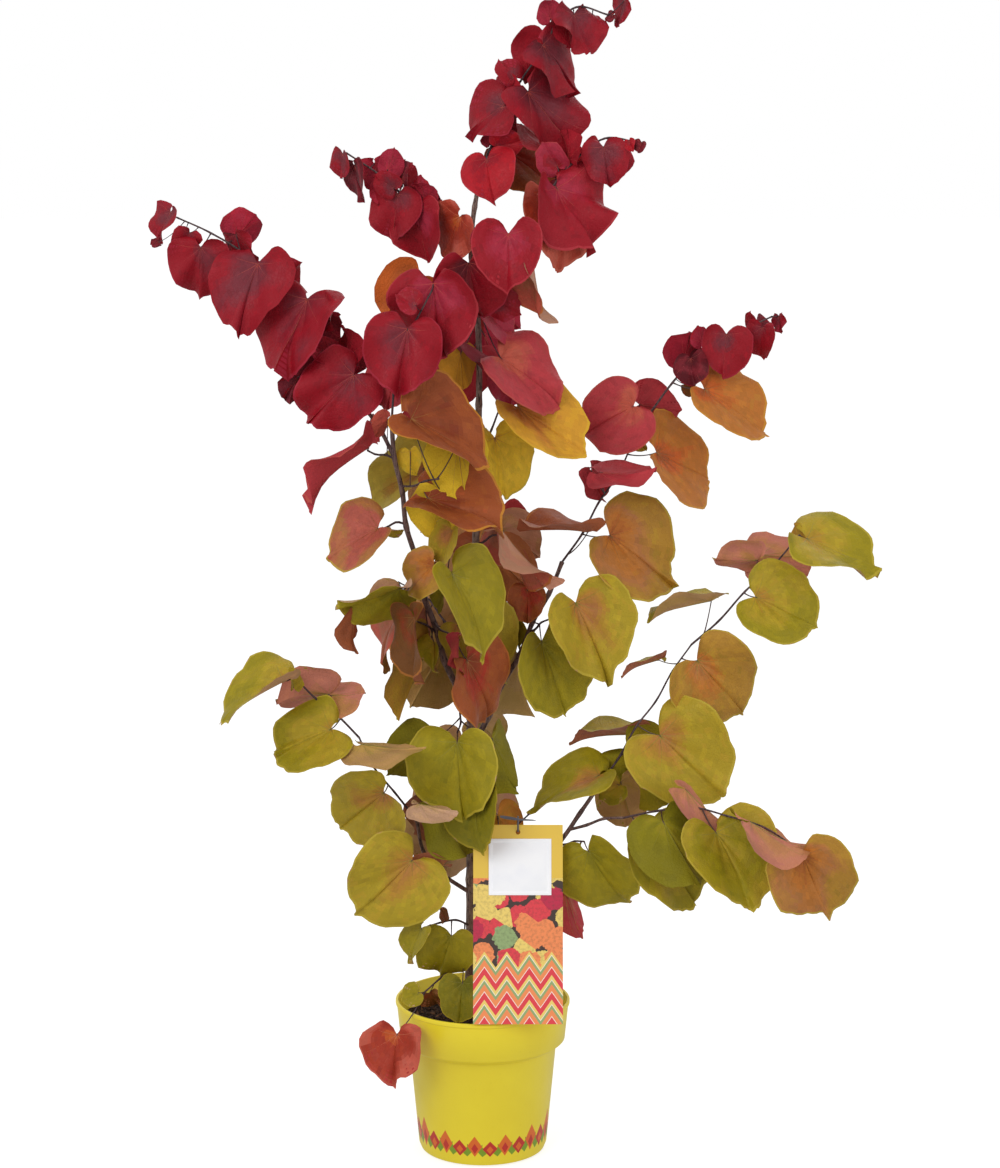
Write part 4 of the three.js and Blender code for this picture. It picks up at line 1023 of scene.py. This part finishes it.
    def underColour(self, reach, turn, plain):
        rule = colourRule
        spot = Vector((reach * rule["underScale"][0], turn * rule["underScale"][1], self.leaf.seed))
        through = rule["throughStalk"] * (1 - reach)
        through += rule["throughCloud"] * noise.noise(spot * rule["throughScale"])
        colour = between((plain, self.shades[2]), min(max(through, 0), rule["throughMost"]))
        return colour * (1 + rule["underMottle"] * noise.noise(spot))


def leafShade(side, colour):  # the finish near this colour, made when there is none so near
    known = leafShades[side]
    gaps = np.linalg.norm(known - colour, axis=1)
    if len(known) and gaps.min() < colourStep:
        return "leaf_" + side + "_" + str(gaps.argmin())
    leafShades[side] = np.vstack([known, colour])
    name = "leaf_" + side + "_" + str(len(known))
    shader = dict(Base_Color=linear(*colour), Specular_IOR_Level=leafShine)
    wearEffect(name, leafSkin, shader=shader, **leafLook[side])
    return name


def bladeFaces(blade, heap):
    style, leaf = bladeStyle, blade.leaf
    rings, columns = next(grid[1:] for grid in style["grids"] if leaf.length >= grid[0])
    chance = random.Random(leaf.seed * 3 + 1)
    turns = [c / columns for c in range(-columns, columns + 1)]
    reaches = [(r / (rings - 1)) ** style["spacing"] * style["margin"] for r in range(rings)] + [1.0]
    points, index = [], {}
    for side in (1, -1):
        for r, reach in enumerate(reaches):
            for c, turn in enumerate(turns):
                inner = 0 < r < rings and 0 < c < 2 * columns
                key = (side if inner else 0, r, 0 if r == 0 else c)
                if key not in index:
                    index[key] = len(points)
                    points.append(blade.point(reach, turn, key[0]))
                index[side, r, c] = index[key]
    plain = blade.under
    if blade.plain:
        plain = between((plain, blade.shades[2]), chance.uniform(0, colourRule["through"]))
    faces, finishes = [], []
    for side in (1, -1):
        for r in range(rings):
            for c in range(2 * columns):
                corners = [index[side, r, c], index[side, r + 1, c],
                           index[side, r + 1, c + 1], index[side, r, c + 1]]
                if r == 0:
                    corners.pop()
                reach, turn = (reaches[r] + reaches[r + 1]) / 2, (turns[c] + turns[c + 1]) / 2
                if side > 0:
                    colour = blade.upperColour(reach if r < rings - 1 else 1, turn, chance)
                    finishes.append(leafShade("upper", colour))
                else:
                    corners.reverse()
                    finishes.append(leafShade("under", blade.underColour(reach, turn, plain)))
                faces.append(corners)
    heap.add(points, faces, finishes)


veinStyle = dict(width=0.006, side=0.72, taper=0.8, thinnest=0.12, bend=0.1, sides=4,
                 steps=(4, 7), largeFrom=40)


def veinFaces(blade, heap):
    style, size = veinStyle, blade.leaf.length
    steps = style["steps"][size > style["largeFrom"]]
    for place, far in bladeStyle["veins"]:
        for side in ((1, -1) if place else (1,)):
            way, radii = [], []
            for k in range(steps + 1):
                reach = far * k / steps
                wide = style["width"] * size * (style["side"] if place else 1) * (1 - style["taper"] * reach)
                way.append(blade.point(reach, side * place * (1 - style["bend"] * (1 - reach))))
                radii.append(max(style["thinnest"], wide))
            heap.add(*fineTube(way, radii, style["sides"]), blade.veins)


# A small leaf's stalk is slimmer, and its end goes a little way in behind the blade.
stalkStyle = dict(thick=0.85, thin=0.62, knuckle=0.35, knuckleWidth=0.1, sag=0.07, steps=7, sides=6,
                  slimmest=0.55, slimBy=160, end=(0.05, 0, -0.2), endThick=0.35)


def stalkFaces(blade, heap):
    style, leaf = stalkStyle, blade.leaf
    run = leaf.base - leaf.node
    sag = Vector((0, 0, -run.length * style["sag"]))
    slim = min(1, style["slimmest"] + leaf.length / style["slimBy"])
    way, radii = [], []
    for k in range(style["steps"] + 1):
        share = k / style["steps"]
        way.append(leaf.node + run * share + sag * arch(share))
        swell = sum(math.exp(-(end / style["knuckleWidth"]) ** 2) for end in (share, 1 - share))
        radii.append(between((style["thick"], style["thin"]), share) * (1 + style["knuckle"] * swell) * slim)
    way.append(leaf.point(*style["end"]))
    radii.append(style["endThick"])
    heap.add(*fineTube(way, radii, style["sides"]), "stalkRed" if blade.isRed else "stalkBrown")


leafGroups = {
    "leaves_low": ("low_twig", "low_heart", "left_foot", "centre_foot", "centre_low", "centre_right",
                   "left_low_inner", "left_low_outer", "right_under", "right_side"),
    "leaves_right": ("right_low_inner", "right_low_outer", "right_mid_inner", "right_mid_outer", "right_base",
                     "right_nook", "right_centre"),
    "leaves_middle": ("centre_mid", "left_hang", "left_drop", "centre_left", "left_mid", "left_high",
                      "left_gold", "left_inner", "right_inner"),
    "leaves_top": ("crown", "upper_left", "leader", "leader_tip", "upper_right", "left_spray_inner",
                   "left_spray_outer"),
    "leaves_back": tuple(backTwigs),
}
veinHeap, stalkHeap = Heap(), Heap()
for title, names in leafGroups.items():
    heap = Heap()
    for name in names:
        for leaf in leaves["foliage_" + name].values():
            blade = Blade(leaf)
            bladeFaces(blade, heap)
            veinFaces(blade, veinHeap)
            stalkFaces(blade, stalkHeap)
    heap.makePiece(title, "foliage", *["foliage_" + name for name in names], smoothAngle=60)
    print(title, len(heap.faces), "faces,", len(heap.finishes), "shades")
veinHeap.makePiece("leaf_veins", "foliage", *leaves, smoothAngle=60)
stalkHeap.makePiece("leaf_stalks", "foliage", *leaves, smoothAngle=60)
print("leaves made")


# The wall's section goes up the outside and down the inside: a radius and what is added to it, then a
# level and what is added to that.
potStyle = dict(
    segments=96, drains=6, drainRadius=5, drainCircle=60, drainSides=24, wall=2.2,
    radii=dict(foot=71, footOut=81, shoulder=94, collar=104, rim=110),
    levels=dict(bottom=0, floor=3, band=145, top=195),
    outside=[("foot", 0, "bottom", 0), ("footOut", -2.6, "bottom", 2.6), ("footOut", 0, "bottom", 9),
             ("shoulder", -1, "band", -8.5), ("shoulder", 0, "band", -7), ("collar", -1.2, "band", -1.2),
             ("collar", 0, "band", 0), ("rim", -1.6, "top", -6), ("rim", 0, "top", -4.6),
             ("rim", 0, "top", -1.2), ("rim", -1.1, "top", 0)],
    inside=[("rim", -0.8, "top", 0), ("rim", -1.6, "top", -1.4), ("collar", -1, "band", 3),
            ("shoulder", 0, "band", -6), ("footOut", -1, "floor", 6)],
    # how far the plastic is mottled and dusty, and how rough it is then
    mottle=0.35, dust=0.12, rough=0.34, mottleRough=0.14, dustRough=0.2,
)


def buildPot():
    p, radii, levels = potStyle, potStyle["radii"], potStyle["levels"]
    profile = [(radii[ring] + aside, levels[level] + up) for ring, aside, level, up in p["outside"]]
    profile += [(radii[ring] - p["wall"] + aside, levels[level] + up)
                for ring, aside, level, up in p["inside"]]
    profile.append((radii["foot"], levels["floor"]))
    deselectAll()
    bpy.ops.mesh.primitive_circle_add(vertices=p["segments"], radius=profile[0][0] * mm, fill_type="NGON",
                                      location=(0, 0, 0))
    pot = bpy.context.object
    bpy.ops.object.mode_set(mode="EDIT")
    bpy.ops.mesh.select_mode(type="FACE")
    bpy.ops.mesh.select_all(action="SELECT")
    for (before, low), (after, high) in zip(profile, profile[1:]):
        bpy.ops.mesh.extrude_region_move(TRANSFORM_OT_translate={"value": (0, 0, (high - low) * mm)})
        bpy.ops.transform.resize(value=(after / before, after / before, 1), center_override=(0, 0, high * mm))
    bpy.ops.mesh.select_all(action="SELECT")
    bpy.ops.mesh.normals_make_consistent(inside=False)
    bpy.ops.object.mode_set(mode="OBJECT")
    for k in range(p["drains"]):
        turn = 2 * math.pi * k / p["drains"]
        place = Vector((math.cos(turn), math.sin(turn), 0)) * p["drainCircle"] * mm
        deselectAll()
        bpy.ops.mesh.primitive_cylinder_add(vertices=p["drainSides"], radius=p["drainRadius"] * mm,
                                            depth=4 * levels["floor"] * mm, location=place)
        drill = bpy.context.object
        makeActive(pot)
        hole = pot.modifiers.new("drain", "BOOLEAN")
        hole.operation, hole.solver, hole.object = "DIFFERENCE", "EXACT", drill
        bpy.ops.object.modifier_apply(modifier=hole.name)
        bpy.data.objects.remove(drill)
    return pot


potColours = dict(plastic=(236, 214, 44), shade=(224, 198, 38), dust=(150, 126, 60), red=(190, 44, 34),
                  orange=(220, 104, 34), green=(122, 154, 32))

# The printed ring of lozenges, in metres: low in front and high at the back, with small ones between.
printStyle = dict(cells=27, foot=0.0145, low=0.012, high=0.022, width=0.5, between=0.4, small=0.62,
                  inner=(0.45, 0.5, 0.004), uneven=0.28, innerWall=0.079)


def buildPotFinish():  # satin plastic with a printed row of lozenges above the foot
    material, wires = newFinish("potPlastic", Specular_IOR_Level=0.45)
    shade = {name: linear(*colour) for name, colour in potColours.items()}
    p, s, calc = potStyle, printStyle, wires.math
    place = wires.place()
    x, y, z = wires.node("SeparateXYZ", Vector=place).outputs
    angle = calc("ARCTAN2", x, calc("MULTIPLY", y, -1))
    cell = calc("MULTIPLY_ADD", angle, s["cells"] / (2 * math.pi), 100)
    odd = calc("MODULO", calc("FLOOR", cell), 2)
    aside = calc("MINIMUM", calc("SUBTRACT", 1, calc("COSINE", angle)), 1)
    tall = calc("MULTIPLY_ADD", aside, s["high"] - s["low"], s["low"])
    tall = calc("MULTIPLY", tall, calc("MULTIPLY_ADD", odd, s["uneven"], 1 - s["uneven"] / 2))
    outer = calc("ADD", calc("MULTIPLY", x, x), calc("MULTIPLY", y, y))
    outer = calc("GREATER_THAN", outer, s["innerWall"] ** 2)

    def lozenge(along, halfWidth, size, foot):  # 1 inside upright lozenges that stand on their foot
        halfHeight = calc("MULTIPLY", tall, size)
        across = calc("ABSOLUTE", calc("SUBTRACT", calc("FRACT", along), 0.5))
        off = calc("ABSOLUTE", calc("SUBTRACT", z, calc("ADD", halfHeight, foot)))
        total = calc("ADD", calc("DIVIDE", across, halfWidth), calc("DIVIDE", off, halfHeight))
        return calc("MULTIPLY", calc("LESS_THAN", total, 1), outer)

    innerWidth, innerSize, innerRise = s["inner"]
    mottle = wires.ramp(wires.noise(place, scale=14), (0.38, 0), (0.72, 1))
    dust = wires.ramp(wires.noise(place, scale=240, detail=4, rough=0.7), (0.62, 0), (0.74, 1))
    tone = wires.mix(calc("MULTIPLY", mottle, p["mottle"]), shade["plastic"], shade["shade"])
    tone = wires.mix(calc("MULTIPLY", dust, p["dust"]), tone, shade["dust"])
    tone = wires.mix(lozenge(calc("ADD", cell, 0.5), s["between"], s["small"], s["foot"]), tone,
                     shade["green"])
    tone = wires.mix(lozenge(cell, s["width"], 1, s["foot"]), tone,
                     wires.mix(odd, shade["red"], shade["orange"]))
    tone = wires.mix(lozenge(cell, s["width"] * innerWidth, innerSize, s["foot"] + innerRise), tone,
                     wires.mix(odd, shade["orange"], shade["red"]))
    rough = calc("MULTIPLY_ADD", mottle, p["mottleRough"], p["rough"])
    rough = calc("MULTIPLY_ADD", dust, p["dustRough"], rough)
    relief = wires.bump(wires.noise(place, scale=320), distance=0.0003, strength=0.5)
    wires.dress(Base_Color=tone, Roughness=rough, Normal=relief)
    return material


finishPiece(buildPot(), "pot_shell", buildPotFinish(), "pot", "pot", smoothAngle=42)
print("pot made")


compostStyle = dict(segments=72, rings=16, bottom=150, level=169, crown=4, radius=100.5, rough=1.6, lumps=70,
                    roughness=0.7, spacing=2.0, octaves=4, edgeFade=8, tolerance=0.01)
crumbStyle = dict(seed=5, edge=5, trunkGap=3, tilt=0.5, spin=(0, 6.28), sunk=0.35)

# What lies on the compost: how many, their sizes, and their breadth and height as shares of these.
crumbKinds = {"compostCrumb": dict(count=1500, size=(1.0, 3.4), broad=(0.6, 1), high=(0.5, 0.8)),
              "barkChip": dict(count=130, size=(4, 10), broad=(0.2, 0.5), high=0.16)}

wearEffect("compostCrumb", compostSkin, relief=0.0016, shader=dict(Specular_IOR_Level=0.2, Roughness=0.95),
           Main=(44, 31, 25), Patch=(92, 64, 44))
wearEffect("barkChip", compostSkin, relief=0.0006, shader=dict(Specular_IOR_Level=0.2, Roughness=0.85),
           Main=(98, 66, 42), Patch=(136, 98, 62))


def compostHeight(x, y):
    c = compostStyle
    edge = 1 - (x * x + y * y) / (c["radius"] * mm) ** 2
    spot = Vector((x, y, 0)) * c["lumps"]
    lumps = noise.fractal(spot, c["roughness"], c["spacing"], c["octaves"])
    return (c["level"] + c["crown"] * edge + c["rough"] * lumps * min(1, edge * c["edgeFade"])) * mm


def buildCompost():
    c = compostStyle
    low, high = c["bottom"] * mm, c["level"] * mm
    deselectAll()
    bpy.ops.mesh.primitive_cylinder_add(vertices=c["segments"], radius=c["radius"] * mm, depth=high - low,
                                        end_fill_type="NGON", location=(0, 0, (low + high) / 2))
    compost = bpy.context.object
    editFace(compost, lambda face: face.center.z)
    for _ in range(c["rings"]):
        bpy.ops.mesh.inset(thickness=c["radius"] / (c["rings"] + 1) * mm)
    bpy.ops.mesh.poke()
    bpy.ops.object.mode_set(mode="OBJECT")
    applyPlace(compost)
    for vertex in compost.data.vertices:
        if vertex.co.z > high - c["tolerance"] * mm:
            vertex.co.z = compostHeight(vertex.co.x, vertex.co.y)
    return compost


def scatterCrumbs():
    style, chance, heap = crumbStyle, random.Random(crumbStyle["seed"]), Heap()
    corners = [Vector(p) for p in ((1, 0, 0), (-1, 0, 0), (0, 1, 0), (0, -1, 0), (0, 0, 1), (0, 0, -1))]
    faces = [(0, 2, 4), (2, 1, 4), (1, 3, 4), (3, 0, 4), (2, 0, 5), (1, 2, 5), (3, 1, 5), (0, 3, 5)]
    foot = Vector(trunkStyle["foot"][:2])
    for finish, kind in crumbKinds.items():
        for _ in range(kind["count"]):
            reach = math.sqrt(chance.random()) * (compostStyle["radius"] - style["edge"])
            turn = chance.uniform(0, 2 * math.pi)
            spot = Vector((reach * math.cos(turn), reach * math.sin(turn)))
            if (spot - foot).length < trunkStyle["flare"] + style["trunkGap"]:
                continue
            size = chance.uniform(*kind["size"])
            broad = chance.uniform(*kind["broad"])
            high = kind["high"] if isinstance(kind["high"], float) else chance.uniform(*kind["high"])
            shape = Vector((size, size * broad, size * high))
            tilt = [chance.uniform(-style["tilt"], style["tilt"]) for _ in range(2)]
            spin = Euler((*tilt, chance.uniform(*style["spin"]))).to_matrix()
            middle = Vector((*spot, compostHeight(*(spot * mm)) / mm + shape.z * style["sunk"]))
            heap.add([middle + spin @ (p * shape) for p in corners], faces, finish)
    heap.makePiece("compost_crumbs", "compost")


compostFinish = bpy.data.materials["compostCrumb"]
finishPiece(buildCompost(), "compost", compostFinish, "compost", "soil", smoothAngle=60)
scatterCrumbs()
print("compost made")


cardStyle = dict(middle=44, foot=(-113, 197), lean=13, length=243, panel=(77, 69), panelAside=2.5,
                 panelDrop=17, panelThick=1.2, panelGap=0.05, panelEdge=0.3, frame=4, groove=(0.5, 0.25),
                 blotRandom=0.75, blotRagged=0.34)
cardColours = dict(header=(230, 192, 74), red=(222, 62, 72), orange=(240, 140, 84), yellow=(236, 206, 110),
                   green=(146, 168, 112), crimson=(190, 36, 70), dark=(66, 50, 44), line=(250, 238, 226))

# Two layers of round blots, then a foot of zigzags and a plain head, in metres.
blotLayers = (dict(scale=40, reach=0.56, colours=("red", "orange", "yellow", "green", "orange")),
              dict(scale=30, reach=0.44, colours=("yellow", "crimson", "orange", "green", "red")))
zigzagStyle = dict(width=0.0275, height=0.03, steep=1.3, top=2.95, head=0.178, stripes=(
    (0, "red"), (0.3, "line"), (0.34, "orange"), (0.62, "green"), (0.78, "line"), (0.82, "yellow")))


def buildCardFinish():  # a gold head, a band of round blots and a foot of zigzag stripes
    material, wires = newFinish("cardPrint")
    shade = {name: linear(*colour) for name, colour in cardColours.items()}
    style, calc = zigzagStyle, wires.math
    place = wires.place()
    x, _, z = wires.node("SeparateXYZ", Vector=place).outputs
    x = calc("SUBTRACT", x, cardStyle["middle"] * mm)
    z = calc("SUBTRACT", z, cardStyle["foot"][1] * mm)
    z = calc("DIVIDE", z, math.cos(math.radians(cardStyle["lean"])))
    flat = wires.node("CombineXYZ", X=x, Y=z).outputs[0]
    tone = shade["dark"]
    for layer in blotLayers:
        colours = layer["colours"]
        blot = wires.node("TexVoronoi", voronoi_dimensions="2D", Vector=flat, Scale=layer["scale"],
                          Randomness=cardStyle["blotRandom"])
        pick = wires.node("SeparateColor", Color=blot.outputs["Color"]).outputs[0]
        colour = wires.ramp(pick, *[(i / len(colours), shade[name]) for i, name in enumerate(colours)],
                            interpolation="CONSTANT")
        ragged = cardStyle["blotRagged"]
        edge = calc("MULTIPLY_ADD", wires.noise(flat, scale=150), ragged, layer["reach"] - ragged / 2)
        inside = calc("LESS_THAN", blot.outputs["Distance"], edge)
        mottle = wires.ramp(wires.noise(flat, scale=260), (0.45, 0), (0.75, 0.4))
        tone = wires.mix(inside, tone, wires.mix(mottle, colour, shade["dark"]))
    zig = calc("FRACT", calc("MULTIPLY_ADD", x, 1 / style["width"], 10))
    zig = calc("ABSOLUTE", calc("SUBTRACT", zig, 0.5))
    climb = calc("MULTIPLY_ADD", zig, style["steep"], calc("DIVIDE", z, style["height"]))
    stripes = wires.ramp(calc("FRACT", climb), *[(at, shade[name]) for at, name in style["stripes"]],
                         interpolation="CONSTANT")
    tone = wires.mix(calc("LESS_THAN", climb, style["top"]), tone, stripes)
    tone = wires.mix(calc("GREATER_THAN", z, style["head"]), tone, shade["header"])
    rough = calc("MULTIPLY_ADD", wires.noise(place, scale=60), 0.2, 0.24)
    relief = wires.bump(wires.noise(place, scale=500, detail=2), distance=0.0002, strength=0.3)
    wires.dress(Base_Color=tone, Roughness=rough, Normal=relief)
    return material


cardNode = frame["nodes"]["card"]
cardNode.data.materials.clear()
cardNode.data.materials.append(buildCardFinish())


def buildPanel():  # a blank white label raised on the card, with a fine groove as its frame
    c = cardStyle
    lean = math.radians(c["lean"])
    rise, out = Vector((0, math.sin(lean), math.cos(lean))), Vector((0, -math.cos(lean), math.sin(lean)))
    wide, tall = c["panel"]
    front = max(vertex.co.dot(out) for vertex in cardNode.data.vertices)
    middle = Vector((0, *c["foot"])) * mm + rise * (c["length"] - c["panelDrop"] - tall / 2) * mm
    middle += out * (front - middle.dot(out) + (c["panelThick"] / 2 + c["panelGap"]) * mm)
    middle.x = (c["middle"] + c["panelAside"]) * mm
    deselectAll()
    bpy.ops.mesh.primitive_cube_add(size=1, location=middle, rotation=(-lean, 0, 0))
    panel = bpy.context.object
    bpy.ops.transform.resize(value=(wide * mm, c["panelThick"] * mm, tall * mm), orient_type="LOCAL")
    applyPlace(panel)
    bpy.ops.object.mode_set(mode="EDIT")
    bpy.ops.mesh.select_all(action="SELECT")
    bpy.ops.mesh.bevel(offset=c["panelEdge"] * mm, segments=2)
    bpy.ops.object.mode_set(mode="OBJECT")
    editFace(panel, lambda face: face.area * face.normal.dot(out))
    bpy.ops.mesh.inset(thickness=c["frame"] * mm)
    width, depth = c["groove"]
    for way in (-1, 1):
        bpy.ops.mesh.inset(thickness=width * mm, depth=way * depth * mm)
    bpy.ops.object.mode_set(mode="OBJECT")
    return panel


panelFinish = wearEffect("panelCard", paperSkin, relief=0.0001, shader=dict(Roughness=0.3),
                         Main=(250, 250, 252), Patch=(242, 243, 248))
finishPiece(buildPanel(), "card_panel", panelFinish, "card", smoothAngle=30)
print("card made")


# A ring round the twig and through the card, with two flat ends. Each end has a side, a slope and a
# narrowness. Its steps are a run, and how its depth and its height change.
tieStyle = dict(loop=9, wire=1.15, middle=(44, -56, 434.1), knot=(0, -5.6, 7.2), loopSteps=40, loopSides=10,
                stub=4, stubBack=3, stubSides=12, ends=((-1, 0.16, 1), (1, -0.05, 0.75)),
                steps=((5, 0.5, 1.5), (7, 0.45, 1.15), (7, 0.9, 0.95), (4, 0.7, 0.6)))


def buildTie():
    t = tieStyle
    middle = Vector(t["middle"])
    deselectAll()
    bpy.ops.mesh.primitive_torus_add(major_radius=t["loop"] * mm, minor_radius=t["wire"] * mm,
                                     major_segments=t["loopSteps"], minor_segments=t["loopSides"],
                                     location=middle * mm, rotation=(0, math.pi / 2, 0))
    loop = bpy.context.object
    parts = [loop]
    for side, slope, narrow in t["ends"]:
        start = middle + Vector(t["knot"]) - Vector((side * t["stubBack"], 0, 0))
        deselectAll()
        bpy.ops.mesh.primitive_cylinder_add(vertices=t["stubSides"], radius=t["wire"] * mm,
                                            depth=t["stub"] * mm, location=start * mm,
                                            rotation=(0, side * math.pi / 2, 0))
        strip = bpy.context.object
        applyPlace(strip)
        editFace(strip, lambda face: side * face.center.x)
        end = start + Vector((side * t["stub"] / 2, 0, 0))
        for run, deep, tall in t["steps"]:
            move = Vector((side * run, 0, run * slope))
            end += move
            bpy.ops.mesh.extrude_region_move(TRANSFORM_OT_translate={"value": move * mm})
            bpy.ops.transform.resize(value=(1, deep, tall * narrow), center_override=end * mm)
        bpy.ops.object.mode_set(mode="OBJECT")
        parts.append(strip)
    deselectAll()
    for part in parts:
        part.select_set(True)
    bpy.context.view_layer.objects.active = loop
    bpy.ops.object.join()
    return loop


tieFinish = wearEffect("tiePlastic", paperSkin, relief=0.0002, Main=(84, 84, 92), Patch=(108, 108, 116))
finishPiece(buildTie(), "wire_tie", tieFinish, "tie", "card_tie", smoothAngle=50)
print("tie made")


def seenGlow(wires, seen, other):  # a strength for what the camera sees, and another for the light it gives
    ray = wires.node("LightPath").outputs["Is Camera Ray"]
    return wires.math("MULTIPLY_ADD", ray, seen - other, other)


deselectAll()
bpy.ops.mesh.primitive_plane_add(size=60, location=(0, 20, 0))
floor = bpy.context.object
floor.name = "studio_floor"
white = (1, 1, 1, 1)
floorFinish, wires = newFinish("studioFloor", Roughness=0.9, Base_Color=(0.4, 0.4, 0.4, 1),
                               Emission_Color=white, Specular_IOR_Level=0.1)
wires.dress(Emission_Strength=seenGlow(wires, seen=0.75, other=0.25))
floor.data.materials.append(floorFinish)

world = bpy.data.worlds.new("studio")
world.use_nodes = True
background = world.node_tree.nodes["Background"]
wires = Wires(world.node_tree)
wires.feed(background.inputs["Color"], white)
wires.feed(background.inputs["Strength"], seenGlow(wires, seen=1, other=0.7))
bpy.context.scene.world = world
bpy.context.scene.view_settings.view_transform = "Standard"

lamps = {
    "keyLight": dict(place=(-2.0, -3.2, 3.0), size=2.2, power=64),
    "fillLight": dict(place=(2.8, -2.6, 1.6), size=2.6, power=26),
    "backLight": dict(place=(0.5, 2.6, 3.0), size=2.4, power=22),
}
lampTarget = Vector((0, 0, 0.7))
for name, lamp in lamps.items():
    data = bpy.data.lights.new(name, "AREA")
    data.size, data.energy = lamp["size"], lamp["power"]
    light = bpy.data.objects.new(name, data)
    light.location = lamp["place"]
    light.rotation_euler = (lampTarget - light.location).to_track_quat("-Z", "Y").to_euler()
    bpy.context.scene.collection.objects.link(light)

cameraStyle = dict(place=(0.0219, -3.3, 1.247), down=9.0, lens=83.44, sensor=36)
data = bpy.data.cameras.new("photoView")
data.sensor_fit = "VERTICAL"
data.sensor_height, data.lens = cameraStyle["sensor"], cameraStyle["lens"]
camera = bpy.data.objects.new("photoView", data)
camera.location = cameraStyle["place"]
camera.rotation_euler = (math.radians(90 - cameraStyle["down"]), 0, 0)
bpy.context.scene.collection.objects.link(camera)
bpy.context.scene.camera = camera
